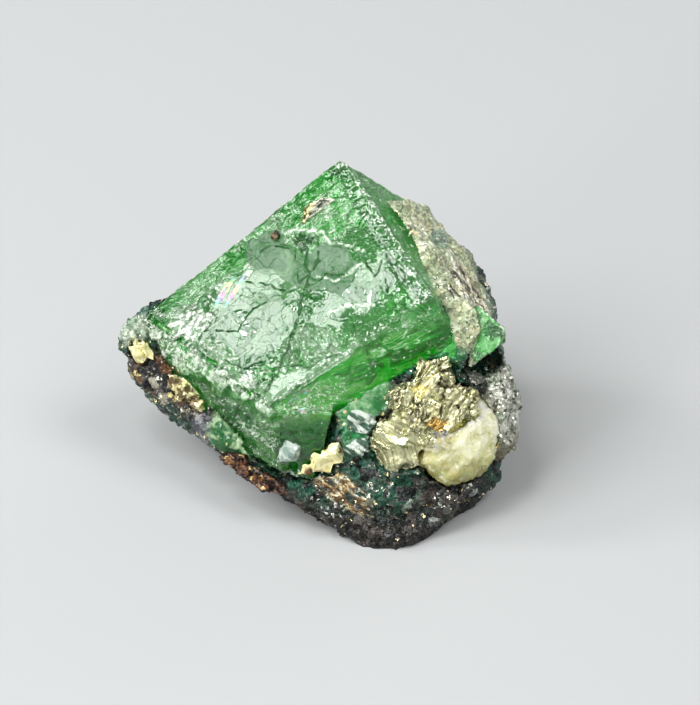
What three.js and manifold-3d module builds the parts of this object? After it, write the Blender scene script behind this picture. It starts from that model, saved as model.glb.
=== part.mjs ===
// Tsavorite in matrix: a green garnet crystal with flat faces, sitting in the dark rock it grew in.
// Pyrite, calcite, graphite, quartz and a second small garnet are set in the same rock.
//
// Millimetres, +Z up. The specimen stands on the flat broken base of its rock, at z = 0, and the
// origin is under the middle of it. The large face of the crystal looks forward (-Y), left and up.
//
// Every flat face is given as a geologist would note it: a bearing round the specimen, from the
// front towards +X, a rise above level, both in degrees, and its reach from the heart.

import * as THREE from "three";
import { ImprovedNoise } from "three/addons/math/ImprovedNoise.js";
import { mergeVertices } from "three/addons/utils/BufferGeometryUtils.js";
import Module from "manifold-3d";

const wasm = await Module();
wasm.setup();

// ---- Driving dimensions, mm ----

const heart = new THREE.Vector3(0, 0.5, 6); // the point that faces and rock are measured from
const middle = 0.86; // how far behind the world's origin the specimen is drawn
const gap = 0.1; // between a piece and the one that closes round it
const block = 40; // the rough block that a crystal is cleaved from, larger than the specimen

const rock = {
  detail: 13, // the rock's surface has 20 * (detail + 1)^2 triangles
  edgeSharpness: 26, // higher is a crisper edge between two broken faces
  lumps: { height: 0.3, length: 3.1 },
  grains: { height: 0.16, length: 1.25 },
};

const turn = THREE.MathUtils.degToRad;

// ---- Flat faces ----

function outward(bearing, rise) {
  const b = turn(bearing);
  const r = turn(rise);
  return new THREE.Vector3(Math.sin(b) * Math.cos(r), -Math.cos(b) * Math.cos(r), Math.sin(r));
}

const face = (bearing, rise, reach) => ({ normal: outward(bearing, rise), reach });

const crystalFaces = [
  face(-27.6, 46.3, 3.28), // the large front face
  face(16.8, 64.2, 5.95), // a narrow bevel down its right edge
  face(81.1, 55.4, 7.07), // the right face beyond the bevel
  face(12.3, 3.5, 3.13), // the deep green band under the front face
  face(-39.1, -2.6, 4.42), // left end
  face(-140.3, 26.7, 6.1), // back left
  face(145, 36, 7.95), // back right
  face(97.5, 21.1, 6.0), // against the rock of the right flank
  face(47.7, -46.4, 2.0), // against the rock under the band
  face(-113.7, -37.2, 5.31), // against the rock under the left end
  face(-55, -42, 5.3), // against the rock of the undercut
  face(175, -25, 4.6), // against the rock at the back
  face(0, -90, 4.2), // against the rock underneath
];

// A lower growth of the same crystal, which shows under the left end of the band.
const lowerFaces = [
  face(2, 15, 3.45),
  face(-45, 3, 4.3),
  face(90, -14, 0.57),
  face(25, 72, 0.82),
  face(-20, -75, 4.45),
  face(170, 0, 1.5),
  face(-90, 20, 3.6),
  face(-55, -42, 5.25),
];

const rockFaces = [
  face(0, -90, 7.5), // underneath, below the cut base
  face(-3.4, 29.9, 2.48), // front
  face(-25.5, 21.2, 3.0), // front, towards the left tip
  face(-47.2, -36.6, 5.95), // undercut on the left
  face(44.1, -23.6, 8.95), // undercut on the right
  face(86.7, 45.5, 7.4), // upper right flank
  face(62, 12, 7.6), // front right
  face(95, 8, 8.15), // right side
  face(100, -28, 8.9), // lower right
  face(-27.6, 46.3, 2.7), // under the crystal's front face
  face(145.3, 34.8, 8.6), // upper back, right
  face(124.1, 20.7, 8.3), // back right
  face(-152, 38, 5.3), // upper back, left
  face(-90, 5, 9.4), // left tip
  face(-128, -22, 7.8), // lower back, left
  face(175, 0, 6.9), // back
  face(160, -32, 7.4), // lower back
];

// ---- Closed solids ----

// A three.js geometry as a manifold-3d solid.
function solid(geometry) {
  const bare = geometry.clone();
  bare.deleteAttribute("normal");
  bare.deleteAttribute("uv");
  const merged = mergeVertices(bare, 1e-4);
  return new wasm.Manifold(
    new wasm.Mesh({
      numProp: 3,
      vertProperties: new Float32Array(merged.attributes.position.array),
      triVerts: new Uint32Array(merged.index.array),
    }),
  );
}

// A block cleaved along flat faces round a centre, each moved out by grow.
function cleaved(faces, centre, grow) {
  const start = new THREE.BoxGeometry(block, block, block);
  return faces.reduce((left, { normal, reach }) => {
    const offset = normal.dot(centre) + reach + grow;
    return left.trimByPlane(normal.clone().negate().toArray(), -offset);
  }, solid(start));
}

const noise = new ImprovedNoise();

function relief(point, { height, length }, shift = 0) {
  const p = point.clone().divideScalar(length).addScalar(shift);
  return height * noise.noise(p.x, p.y, p.z);
}

// A geometry whose points are moved by a rule from direction to place.
function shaped(geometry, place) {
  const position = geometry.attributes.position;
  const point = new THREE.Vector3();
  for (let i = 0; i < position.count; i += 1) {
    place(point.fromBufferAttribute(position, i).normalize());
    position.setXYZ(i, point.x, point.y, point.z);
  }
  return geometry;
}

// The broken rock: flat faces with worn edges, then lumps and grains, and a base cut flat.
function brokenRock(grow) {
  const ball = new THREE.IcosahedronGeometry(1, rock.detail);
  const rough = shaped(ball, (point) => {
    const near = rockFaces.reduce((sum, { normal, reach }) => {
      const lean = Math.max(0, point.dot(normal)) / (reach + grow);
      return sum + lean ** rock.edgeSharpness;
    }, 0);
    const reach = near ** (-1 / rock.edgeSharpness);
    point.multiplyScalar(reach);
    const bump = relief(point, rock.lumps) + relief(point, rock.grains, 7);
    point.multiplyScalar(1 + bump / reach).add(heart);
  });
  return solid(rough).trimByPlane([0, 0, 1], 0);
}

// A rounded lump: an egg of three radii with its own relief, its last radius along a direction.
function lump({ centre, radii, along = [0, 0, 1], detail = 5, relief: bumps, seed = 0 }) {
  const up = new THREE.Vector3(0, 0, 1);
  const turned = new THREE.Quaternion();
  turned.setFromUnitVectors(up, new THREE.Vector3(...along).normalize());
  const plain = new THREE.Vector3(...radii);
  return (grow) => {
    const egg = plain.clone().addScalar(grow);
    const ball = new THREE.IcosahedronGeometry(1, detail);
    const rough = shaped(ball, (point) => {
      const bump = relief(point.clone().multiply(plain), bumps, seed);
      point.multiply(egg);
      point.multiplyScalar(1 + bump / point.length());
      point.applyQuaternion(turned).add(new THREE.Vector3(...centre));
    });
    return solid(rough);
  };
}

// A box turned about its own middle.
function slab(size, centre, tilt, grow) {
  const box = new THREE.BoxGeometry(...size.map((side) => side + 2 * grow));
  const turned = new THREE.Matrix4().makeRotationFromEuler(new THREE.Euler(...tilt.map(turn)));
  return solid(box.applyMatrix4(turned).translate(...centre));
}

// Slabs grown together.
function grownTogether(slabs) {
  return (grow) => slabs
    .map(({ size, centre, tilt }) => slab(size, centre, tilt, grow))
    .reduce((joined, next) => joined.add(next));
}

// ---- The pieces ----

const mainCrystal = (grow) => cleaved(crystalFaces, heart, grow).add(
  cleaved(lowerFaces, heart, grow),
);

// The small garnet at the right: a blunt tip that points forward and down.
const sideCentre = new THREE.Vector3(7.1, -0.95, 7.55);
const sideFaces = [
  face(85, 32, 0.9),
  face(5, 20, 0.8),
  face(-70, 25, 0.7),
  face(48, -42, 1.05),
  face(110, 15, 0.85),
  face(150, 50, 1.5),
  face(180, 0, 1.2),
  face(-60, -50, 1.1),
];
const sideCrystal = (grow) => cleaved(sideFaces, sideCentre, grow);

// Uphill on the front of the rock.
const uphill = [0, 0.5, 0.87];

const calciteNodule = lump({
  centre: [5.95, -3.0, 4.35],
  radii: [1.95, 1.35, 2.2],
  detail: 5,
  relief: { height: 0.2, length: 0.9 },
  along: uphill,
});

const graphiteLump = lump({
  centre: [7.6, -1.35, 4.85],
  radii: [1.3, 1.35, 2.45],
  detail: 5,
  relief: { height: 0.45, length: 1.1 },
  seed: 3,
  along: [-0.15, 0.5, 0.87],
});

// The big pyrite mass: thin brassy plates crumpled round a centre, each turned a little further,
// and a rounder heap of the same flakes at its lower left.
const plates = {
  count: 14,
  size: [2.75, 0.55, 1.65], // of the innermost plate
  shrink: 0.4, // how much less the outermost plate measures
  centre: [5.0, -2.75, 6.05],
  spread: 1.15, // from the innermost plate to the outermost
  slope: 0.45, // how far back a plate lies for each millimetre that it lies higher
  bulge: 0.3, // how far the innermost plates stand forward
  lean: -30,
  sway: 25, // how far single plates lean out of line
};
const goldenAngle = 137.5;

function plate(i) {
  const outwards = i / plates.count;
  const away = plates.spread * Math.sqrt(outwards);
  const at = turn(goldenAngle * i);
  const [x, y, z] = plates.centre;
  const up = away * Math.sin(at);
  return {
    size: plates.size.map((side) => side * (1 - plates.shrink * outwards)),
    centre: [x + away * Math.cos(at), y + plates.slope * up - plates.bulge * (1 - outwards), z + up],
    tilt: [
      plates.lean + plates.sway * Math.sin(2.1 * i),
      goldenAngle * i,
      plates.sway * Math.cos(1.7 * i),
    ],
  };
}

const crumpledPlates = grownTogether(Array.from({ length: plates.count }, (_, i) => plate(i)));
const roundHeap = lump({
  centre: [3.45, -3.55, 4.5],
  radii: [1.2, 0.8, 1.45],
  detail: 4,
  relief: { height: 0.35, length: 0.6 },
  seed: 5,
  along: [0.3, 0.48, 0.82],
});
const pyriteMass = (grow) => crumpledPlates(grow).add(roundHeap(grow));

const pyriteCubes = grownTogether([
  { size: [1.0, 0.9, 0.8], centre: [-0.05, -3.75, 3.5], tilt: [-18, 14, 24] },
  { size: [0.8, 0.7, 0.7], centre: [0.5, -3.72, 3.95], tilt: [10, -25, -12] },
  { size: [0.7, 0.7, 0.55], centre: [-0.75, -3.75, 3.1], tilt: [-35, 5, 40] },
]);

const pyriteTip = lump({
  centre: [-8.3, 0.95, 6.15],
  radii: [0.55, 0.55, 0.7],
  detail: 3,
  relief: { height: 0.25, length: 0.5 },
});

const pyriteLeft = grownTogether([
  { size: [0.9, 0.8, 0.8], centre: [-6.1, -0.55, 5.0], tilt: [20, 30, 10] },
  { size: [0.7, 0.6, 0.7], centre: [-6.6, -0.3, 5.3], tilt: [-25, 10, 35] },
  { size: [0.6, 0.6, 0.5], centre: [-5.6, -0.85, 4.5], tilt: [15, -20, -30] },
]);

const rustySeam = lump({
  centre: [-3.1, -3.3, 2.35],
  radii: [0.38, 0.5, 2.0],
  detail: 3,
  relief: { height: 0.35, length: 0.8 },
  along: [1, -0.62, -0.25],
});

const quartzGrain = lump({
  centre: [-1.35, -3.6, 3.85],
  radii: [0.55, 0.45, 0.5],
  detail: 1,
  relief: { height: 0.15, length: 0.4 },
});

// The rock's left rim stands up as a dark crust along the crystal's end.
const leftRim = lump({
  centre: [-5.9, 0.3, 4.7],
  radii: [0.75, 0.75, 2.9],
  detail: 4,
  relief: { height: 0.4, length: 0.8 },
  seed: 9,
  along: [-0.56, 0.41, 0.72],
});

const hostRock = (grow) => brokenRock(grow).add(leftRim(grow));

// A pyrite sliver and a speck lie in the crystal's large face.
const pyriteSliver = grownTogether([
  { size: [1.7, 0.5, 0.26], centre: [-0.28, 3.0, 12.5], tilt: [24, -32, 8] },
  { size: [1.1, 0.55, 0.24], centre: [0.0, 3.1, 12.82], tilt: [34, -30, 12] },
  { size: [0.9, 0.5, 0.22], centre: [-0.55, 2.85, 12.18], tilt: [18, -38, 4] },
]);
const pyriteSpeck = (grow) => slab([0.36, 0.36, 0.36], [-2.1, 2.6, 11.5], [30, 20, 40], grow);

// Colours as the pieces show them in daylight.
const looks = {
  garnet: { color: 0x2f9a45, roughness: 0.08, metalness: 0 },
  rock: { color: 0x35463a, roughness: 0.55, metalness: 0.1 },
  pyrite: { color: 0xcdbb72, roughness: 0.3, metalness: 1 },
  rustyPyrite: { color: 0x7a5230, roughness: 0.5, metalness: 0.7 },
  calcite: { color: 0xd9d7a6, roughness: 0.35, metalness: 0 },
  graphite: { color: 0x8d8f89, roughness: 0.35, metalness: 0.8 },
  quartz: { color: 0xc9d2c6, roughness: 0.2, metalness: 0 },
};

// In order of growth: a piece keeps its shape, and every later one closes round it.
const pieces = [
  ["pyrite_sliver", pyriteSliver, "pyrite"],
  ["pyrite_speck", pyriteSpeck, "pyrite"],
  ["tsavorite_crystal", mainCrystal, "garnet"],
  ["small_tsavorite_crystal", sideCrystal, "garnet"],
  ["pyrite_mass", pyriteMass, "pyrite"],
  ["pyrite_cubes", pyriteCubes, "pyrite"],
  ["pyrite_tip_grain", pyriteTip, "pyrite"],
  ["pyrite_rim_grains", pyriteLeft, "pyrite"],
  ["quartz_grain", quartzGrain, "quartz"],
  ["rusty_pyrite_seam", rustySeam, "rustyPyrite"],
  ["calcite_nodule", calciteNodule, "calcite"],
  ["graphite_lump", graphiteLump, "graphite"],
  ["host_rock", hostRock, "rock"],
];

function meshOf(name, shape, look) {
  const { numProp, vertProperties, triVerts } = shape.getMesh();
  const geometry = new THREE.BufferGeometry();
  geometry.setAttribute("position", new THREE.BufferAttribute(vertProperties, numProp));
  geometry.setIndex(new THREE.BufferAttribute(triVerts, 1));
  geometry.computeVertexNormals();
  const mesh = new THREE.Mesh(geometry, new THREE.MeshStandardMaterial(look));
  mesh.name = name;
  return mesh;
}

// The largest body of a solid, without the crumbs that a cut leaves.
function largest(shape) {
  return shape.decompose().sort((a, b) => b.volume() - a.volume())[0];
}

const specimen = new THREE.Group();
specimen.position.y = -middle;
pieces.forEach(([name, build, look], i) => {
  const earlier = pieces.slice(0, i).map(([, buildEarlier]) => buildEarlier(gap));
  const shape = earlier.reduce((left, socket) => left.subtract(socket), build(0));
  specimen.add(meshOf(name, largest(shape), looks[look]));
});

export default specimen;
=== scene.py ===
# %% [markdown]
# # Tsavorite in matrix
# A green garnet crystal with flat faces sits in the dark rock that it grew in, with brassy
# pyrite, a waxy calcite nodule, silvery graphite and a second small garnet round it. The
# measured solids are loaded first and never moved. Every piece below is then made to fit them.

# %% Load the measured solids
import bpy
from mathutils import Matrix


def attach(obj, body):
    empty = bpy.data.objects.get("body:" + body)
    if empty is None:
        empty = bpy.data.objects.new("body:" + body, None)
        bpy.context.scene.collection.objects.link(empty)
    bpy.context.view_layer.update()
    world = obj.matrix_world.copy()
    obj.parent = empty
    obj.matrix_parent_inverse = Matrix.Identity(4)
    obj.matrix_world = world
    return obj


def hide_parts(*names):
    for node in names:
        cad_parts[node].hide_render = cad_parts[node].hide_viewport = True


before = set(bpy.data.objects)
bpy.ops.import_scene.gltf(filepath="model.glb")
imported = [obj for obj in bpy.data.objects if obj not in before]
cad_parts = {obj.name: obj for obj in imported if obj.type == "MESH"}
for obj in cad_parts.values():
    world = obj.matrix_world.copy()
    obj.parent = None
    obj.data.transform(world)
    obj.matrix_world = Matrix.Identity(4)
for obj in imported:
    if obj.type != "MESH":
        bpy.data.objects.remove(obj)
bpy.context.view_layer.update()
print("measured solids:", sorted(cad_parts))

# %% Tools
import math
from types import SimpleNamespace

import bpy
from mathutils import Matrix, Vector

MM = 0.001

# %% [markdown]
# ## The camera
# The specimen is seen from a little above, through a long lens, so that its edges stay nearly
# parallel. A long lens a long way off gives that look.

# %% Set up the camera
AIM = Vector((1.27, 0.0, 6.135)) * MM
CAMERA_RISE = math.radians(38)
CAMERA_DISTANCE = 240 * MM
VIEW_HEIGHT = 32.05 * MM
SENSOR = 36


def set_up_camera():
    back = Vector((0, -math.cos(CAMERA_RISE), math.sin(CAMERA_RISE)))
    data = bpy.data.cameras.new("camera")
    data.sensor_width = SENSOR
    data.lens = SENSOR * CAMERA_DISTANCE / VIEW_HEIGHT
    data.clip_start = 0.01
    camera = bpy.data.objects.new("camera", data)
    camera.location = AIM + back * CAMERA_DISTANCE
    camera.rotation_euler = (math.pi / 2 - CAMERA_RISE, 0, 0)
    bpy.context.scene.collection.objects.link(camera)
    bpy.context.scene.camera = camera
    print("camera lens:", round(data.lens), "mm")


set_up_camera()

# %% [markdown]
# ## Working under the magnifier
# The specimen is only 18 mm long, and some of Blender's tools stop at a tenth of a millimetre.
# So each piece is modelled a thousand times too large, with one unit for each millimetre, and
# shrunk to its real size when it is finished. Operators act on everything that is selected, so
# one piece at a time is taken in hand.

# %% Helpers for taking a piece in hand
def take(piece):
    """Makes this piece the active one and the only one selected."""
    bpy.ops.object.select_all(action="DESELECT")
    piece.select_set(True)
    bpy.context.view_layer.objects.active = piece


def name_new(name):
    """Names the object that an operator has just added."""
    piece = bpy.context.active_object
    piece.name = name
    piece.data.name = name
    return piece


def apply(piece, kind, title, **settings):
    """Adds one modifier and applies it."""
    take(piece)
    modifier = piece.modifiers.new(title, kind)
    for setting, value in settings.items():
        setattr(modifier, setting, value)
    bpy.ops.object.modifier_apply(modifier=title)


def even_skin(piece, grain):
    """Gives a piece a new skin of even small faces, ready for fine relief."""
    apply(piece, "REMESH", "even skin", mode="VOXEL", voxel_size=grain * 1)


def copy_of_measured(node_name, name):
    """A merged copy of a measured solid, under the magnifier."""
    take(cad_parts[node_name])
    bpy.ops.object.duplicate()
    piece = name_new(name)
    for key in list(piece.keys()):
        del piece[key]
    piece.parent = None
    bpy.ops.transform.resize(value=[1 / MM] * 3, center_override=(0, 0, 0))
    bpy.ops.object.transform_apply(location=True, rotation=True, scale=True)
    bpy.ops.object.mode_set(mode="EDIT")
    bpy.ops.mesh.select_all(action="SELECT")
    bpy.ops.mesh.remove_doubles(threshold=0.0005)
    bpy.ops.object.mode_set(mode="OBJECT")
    return piece


def finish_piece(piece, material, slot, *stands_for):
    """Shrinks a piece to its real size, gives it its material and sets it in the frame."""
    take(piece)
    bpy.ops.object.shade_smooth()
    piece.scale = (MM, MM, MM)
    bpy.ops.object.transform_apply(location=True, rotation=True, scale=True)
    piece.data.materials.clear()
    piece.data.materials.append(material)
    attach(piece, "root")
    if stands_for:
        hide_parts(*stands_for)
    print(piece.name, "has", sum(len(p.vertices) - 2 for p in piece.data.polygons), "triangles")


# %% [markdown]
# ## Helpers for node trees
# Relief and colour both come from node trees. The same small helpers build both, so that a
# groove in a surface and the dark line along it can be worked out in the same way. Places are
# always in millimetres.

# %% Helpers for nodes
def node(tree, kind, inputs=None, **settings):
    """Adds a node. An input takes a number, a colour or another node's output."""
    new = tree.nodes.new(kind)
    for setting, value in settings.items():
        setattr(new, setting, value)
    for name, value in (inputs or {}).items():
        socket = new.inputs[name]
        if isinstance(value, bpy.types.NodeSocket):
            tree.links.new(value, socket)
        else:
            socket.default_value = value
    return new


def calc(tree, operation, a, b=0.0):
    return node(tree, "ShaderNodeMath", {0: a, 1: b}, operation=operation).outputs[0]


def chained(tree, operation, parts):
    result = parts[0]
    for part in parts[1:]:
        result = calc(tree, operation, result, part)
    return result


def total(tree, *parts):
    return chained(tree, "ADD", parts)


def times(tree, *parts):
    return chained(tree, "MULTIPLY", parts)


def strongest(tree, *parts):
    return chained(tree, "MAXIMUM", parts)


def weakest(tree, *parts):
    return chained(tree, "MINIMUM", parts)


def outside(tree, mask):
    """1 where a mask is 0, and 0 where it is 1."""
    return calc(tree, "SUBTRACT", 1, mask)


def vector(tree, operation, a, b=(0, 0, 0)):
    new = node(tree, "ShaderNodeVectorMath", {0: a, 1: b}, operation=operation)
    return new.outputs["Value" if operation in ("DOT_PRODUCT", "DISTANCE", "LENGTH") else "Vector"]


def scaled(tree, way, amount):
    new = node(tree, "ShaderNodeVectorMath", {0: way, "Scale": amount}, operation="SCALE")
    return new.outputs["Vector"]


def parts_of(tree, value):
    return node(tree, "ShaderNodeSeparateXYZ", {0: value}).outputs


def span(tree, value, low, high, to_low=0.0, to_high=1.0):
    """Maps low..high smoothly to to_low..to_high and holds it there outside."""
    inputs = {
        "Value": value,
        "From Min": low,
        "From Max": high,
        "To Min": to_low,
        "To Max": to_high,
    }
    return node(tree, "ShaderNodeMapRange", inputs, interpolation_type="SMOOTHSTEP").outputs[0]


def noise(tree, place, scale, detail=2.0, roughness=0.5, distortion=0.0):
    inputs = {
        "Vector": place,
        "Scale": scale,
        "Detail": detail,
        "Roughness": roughness,
        "Distortion": distortion,
    }
    return node(tree, "ShaderNodeTexNoise", inputs).outputs


def cells(tree, place, scale):
    """Grains packed side by side. Each has a middle, and a colour by which it can be picked."""
    return node(tree, "ShaderNodeTexVoronoi", {"Vector": place, "Scale": scale}).outputs


def wander(tree, place, scale, far):
    """A place that strays by up to far, so that straight patterns turn ragged."""
    stray = vector(tree, "SUBTRACT", noise(tree, place, scale)[1], (0.5, 0.5, 0.5))
    return vector(tree, "ADD", place, vector(tree, "MULTIPLY", stray, (2 * far,) * 3))


def drawn_out(tree, place, way, stretch):
    """Squeezes places along a way, so that a pattern on them is drawn out that way."""
    along = vector(tree, "DOT_PRODUCT", place, tuple(way))
    shorter = calc(tree, "MULTIPLY", along, 1 / stretch - 1)
    return vector(tree, "ADD", place, scaled(tree, tuple(way), shorter))


def streaks(tree, place, way, stretch, scale):
    """A noise drawn out along a way."""
    return noise(tree, drawn_out(tree, place, way, stretch), scale, 3, 0.6)[0]


def leaning(tree, place, grain, lean):
    """The height of grains that each lean their own way."""
    from_middle = vector(tree, "SUBTRACT", place, grain["Position"])
    tilt = vector(tree, "SUBTRACT", grain["Color"], (0.5, 0.5, 0.5))
    return calc(tree, "MULTIPLY", vector(tree, "DOT_PRODUCT", from_middle, tilt), 2 * lean)


def facets(tree, place, scale, lean):
    """Small flat facets: the broken faces of a mass of grains."""
    return leaning(tree, place, cells(tree, place, scale), lean)


def lines(tree, value, level, width):
    """Fine curly lines, drawn where a noise crosses a level."""
    off = calc(tree, "ABSOLUTE", calc(tree, "SUBTRACT", value, level))
    return span(tree, off, 0, width, 1, 0)


def less_than_one(tree, reach, soft):
    """1 where a place lies less than one radius from a centre, 0 further off, with a soft edge."""
    joined = node(tree, "ShaderNodeCombineXYZ", dict(enumerate(reach))).outputs[0]
    return span(tree, vector(tree, "LENGTH", joined), 1 - soft / 2, 1 + soft / 2, 1, 0)


def spot(tree, place, centre, radii, along=(0, 0, 1), soft=0.5):
    """1 within an egg-shaped spot that lies along a direction, 0 outside it."""
    turn = Vector(along).to_track_quat("Z", "Y").to_matrix()
    from_centre = vector(tree, "SUBTRACT", place, centre)
    reach = [
        calc(tree, "DIVIDE", vector(tree, "DOT_PRODUCT", from_centre, tuple(way)), radius)
        for way, radius in zip(turn.col, radii)
    ]
    return less_than_one(tree, reach, soft)


def mix(tree, factor, a, b, kind="MIX"):
    new = node(tree, "ShaderNodeMix", data_type="RGBA", blend_type=kind)
    for socket, value in ((0, factor), (6, a), (7, b)):
        if isinstance(value, bpy.types.NodeSocket):
            tree.links.new(value, new.inputs[socket])
        else:
            new.inputs[socket].default_value = value
    return new.outputs[2]


def painted(tree, colour, *coats):
    """Lays coats over a colour, one after the other, each a mask and its own colour."""
    for mask, coat in coats:
        colour = mix(tree, mask, colour, coat)
    return colour


def rgb(red, green, blue):
    return (red, green, blue, 1)


def choose(tree, value, *stops):
    """Picks a colour by a value, with a hard change at each stop."""
    ramp = node(tree, "ShaderNodeValToRGB", {"Fac": value})
    ramp.color_ramp.interpolation = "CONSTANT"
    while len(ramp.color_ramp.elements) < len(stops):
        ramp.color_ramp.elements.new(0.5)
    for element, (at, colour) in zip(ramp.color_ramp.elements, stops):
        element.position = at
        element.color = colour
    return ramp.outputs[0]


# %% [markdown]
# Relief is real: a small tree of geometry nodes moves every point of a piece along its normal,
# and is then applied. It can also leave marks on the mesh, which the material reads, so that a
# smooth window in the relief is also clear in colour. Only the very finest relief is a bump.

# %% Helpers for relief and for materials
def normal_of(tree):
    return node(tree, "GeometryNodeInputNormal").outputs[0]


def carve(piece, title, build):
    """Moves every point of a piece along its normal by the height that build works out."""
    tree = bpy.data.node_groups.new(title, "GeometryNodeTree")
    for way in ("INPUT", "OUTPUT"):
        tree.interface.new_socket("Geometry", in_out=way, socket_type="NodeSocketGeometry")
    start = node(tree, "NodeGroupInput")
    place = node(tree, "GeometryNodeInputPosition").outputs[0]
    height, marks = build(tree, place)
    shape = start.outputs[0]
    for mark, value in marks.items():
        kind = "FLOAT_VECTOR" if value.type == "VECTOR" else "FLOAT"
        inputs = {"Geometry": shape, "Name": mark}
        store = node(tree, "GeometryNodeStoreNamedAttribute", inputs, data_type=kind)
        tree.links.new(value, store.inputs["Value"])
        shape = store.outputs[0]
    inputs = {"Geometry": shape, "Offset": scaled(tree, normal_of(tree), height)}
    moved = node(tree, "GeometryNodeSetPosition", inputs).outputs[0]
    end = node(tree, "NodeGroupOutput")
    tree.links.new(moved, end.inputs[0])
    apply(piece, "NODES", title, node_group=tree)
    print(piece.name, "carved:", title, "on", len(piece.data.vertices), "points, marks", sorted(marks))


def in_mm(tree):
    """Object coordinates, in millimetres."""
    place = node(tree, "ShaderNodeTexCoord").outputs["Object"]
    return node(tree, "ShaderNodeMapping", {"Vector": place, "Scale": (1 / MM,) * 3}).outputs[0]


def mark_of(tree, name, output="Fac"):
    """A mark that the relief left on the mesh."""
    return node(tree, "ShaderNodeAttribute", attribute_name=name).outputs[output]


def new_material(name, build, **plain):
    """A material on one Principled shader. Values that are the same all over sit on its sockets."""
    material = bpy.data.materials.new(name)
    material.use_nodes = True
    tree = material.node_tree
    shader = tree.nodes["Principled BSDF"]
    for socket, value in plain.items():
        shader.inputs[socket.replace("_", " ")].default_value = value
    for socket, value in build(tree, in_mm(tree)).items():
        tree.links.new(value, shader.inputs[socket])
    print("material", name, "is worked out by", len(tree.nodes), "nodes")
    return material


def bumped(tree, height):
    """A normal from a height in millimetres."""
    inputs = {"Height": height, "Distance": MM, "Strength": 1.0}
    return node(tree, "ShaderNodeBump", inputs).outputs[0]


# %% [markdown]
# ## Flat faces
# A crystal is a solid bounded by flat faces, so it is cut from a block as a lapidary would
# read it: each face by the bearing that it looks towards, the slope that it rises at and how
# far it lies from the heart of the crystal.

# %% Cleave a block along faces
HEART = Vector((0, -0.36, 6))


def outward(bearing, rise):
    b, r = math.radians(bearing), math.radians(rise)
    return Vector((math.sin(b) * math.cos(r), -math.cos(b) * math.cos(r), math.sin(r)))


def cleave(name, faces, centre=HEART, block=40):
    """A block cut along flat faces, each given by bearing, rise and reach from the centre."""
    bpy.ops.object.select_all(action="DESELECT")
    bpy.ops.mesh.primitive_cube_add(size=block, location=centre)
    piece = name_new(name)
    bpy.ops.object.transform_apply(location=True, rotation=True, scale=True)
    bpy.ops.object.mode_set(mode="EDIT")
    for bearing, rise, reach in faces:
        normal = outward(bearing, rise)
        bpy.ops.mesh.select_all(action="SELECT")
        bpy.ops.mesh.bisect(
            plane_co=centre + normal * reach, plane_no=normal, use_fill=True, clear_outer=True
        )
    bpy.ops.object.mode_set(mode="OBJECT")
    return piece


FRONT_FACE = (-27.6, 46.3, 3.28)
BEVEL_FACE = (16.8, 64.2, 5.95)
RIGHT_FACE = (81.1, 55.4, 7.07)
BAND_FACE = (12.3, 3.5, 3.13)
LEFT_FACE = (-39.1, -2.6, 4.42)
# The faces that carry patterns of their own, by name
SEEN_FACES = {
    "front": FRONT_FACE,
    "band": BAND_FACE,
    "left": LEFT_FACE,
    "bevel": BEVEL_FACE,
    "right": RIGHT_FACE,
}
# The first faces stand open. The rest lie against the rock.
CRYSTAL_FACES = [
    FRONT_FACE,
    BEVEL_FACE,
    RIGHT_FACE,
    BAND_FACE,
    LEFT_FACE,
    (-140.3, 26.7, 6.1),
    (145, 36, 7.95),
    (97.5, 21.1, 6.0),
    (47.7, -46.4, 2.0),
    (-113.7, -37.2, 5.31),
    (-55, -42, 5.3),
    (175, -25, 4.6),
    (0, -90, 4.2),
]
OPEN_FACES = 7
LOWER_FACES = [
    (2, 15, 3.45),
    (-45, 3, 4.3),
    (90, -14, 0.57),
    (25, 72, 0.82),
    (-20, -75, 4.45),
    (170, 0, 1.5),
    (-90, 20, 3.6),
    (-55, -42, 5.25),
]


def join(name, *pieces):
    """Joins solids that overlap into one, as crystals that have grown together."""
    first = pieces[0]
    for other in pieces[1:]:
        apply(first, "BOOLEAN", "join", operation="UNION", object=other, solver="EXACT")
        bpy.data.objects.remove(other)
    first.name = name
    return first


print("the crystal has", len(CRYSTAL_FACES), "faces and its lower growth", len(LOWER_FACES))

# %% [markdown]
# ## The garnet crystal
# The large face is crazed: old fractures divide it into shards that lie a little askew. In
# some places, its windows, the shards are glass-smooth; the rest are etched. Along the upper
# left edge the etching runs in streaks, and near the middle it is a fine curly pattern. All of
# this could be painted, but then it would not glint, so the larger forms are carved. Places on
# a face are measured from the point under the heart: across it, then up it.

# %% Places on the faces
def ways_of(face):
    """Which way is across a face, up it and out of it."""
    bearing = math.radians(face[0])
    out = outward(*face[:2])
    across = Vector((math.cos(bearing), math.sin(bearing), 0))
    return across, out.cross(across), out


def below(tree, place, face):
    """Depth of a place below a face."""
    out = outward(*face[:2])
    reached = vector(tree, "DOT_PRODUCT", place, tuple(out))
    return calc(tree, "SUBTRACT", face[2] + out.dot(HEART), reached)


def depths_below(tree, place, faces, heart):
    """Depths of a place below the faces round a heart."""
    from_heart = vector(tree, "SUBTRACT", place, tuple(heart))
    depths = []
    for bearing, rise, reach in faces:
        reached = vector(tree, "DOT_PRODUCT", from_heart, tuple(outward(bearing, rise)))
        depths.append(calc(tree, "SUBTRACT", reach, reached))
    return depths


def on_face(tree, place, face):
    """Place on a face, as across, up and 0."""
    across, up = ways_of(face)[:2]
    from_heart = vector(tree, "SUBTRACT", place, tuple(HEART))
    reach_across = vector(tree, "DOT_PRODUCT", from_heart, tuple(across))
    reach_up = vector(tree, "DOT_PRODUCT", from_heart, tuple(up))
    return node(tree, "ShaderNodeCombineXYZ", {0: reach_across, 1: reach_up, 2: 0.0}).outputs[0]


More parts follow.
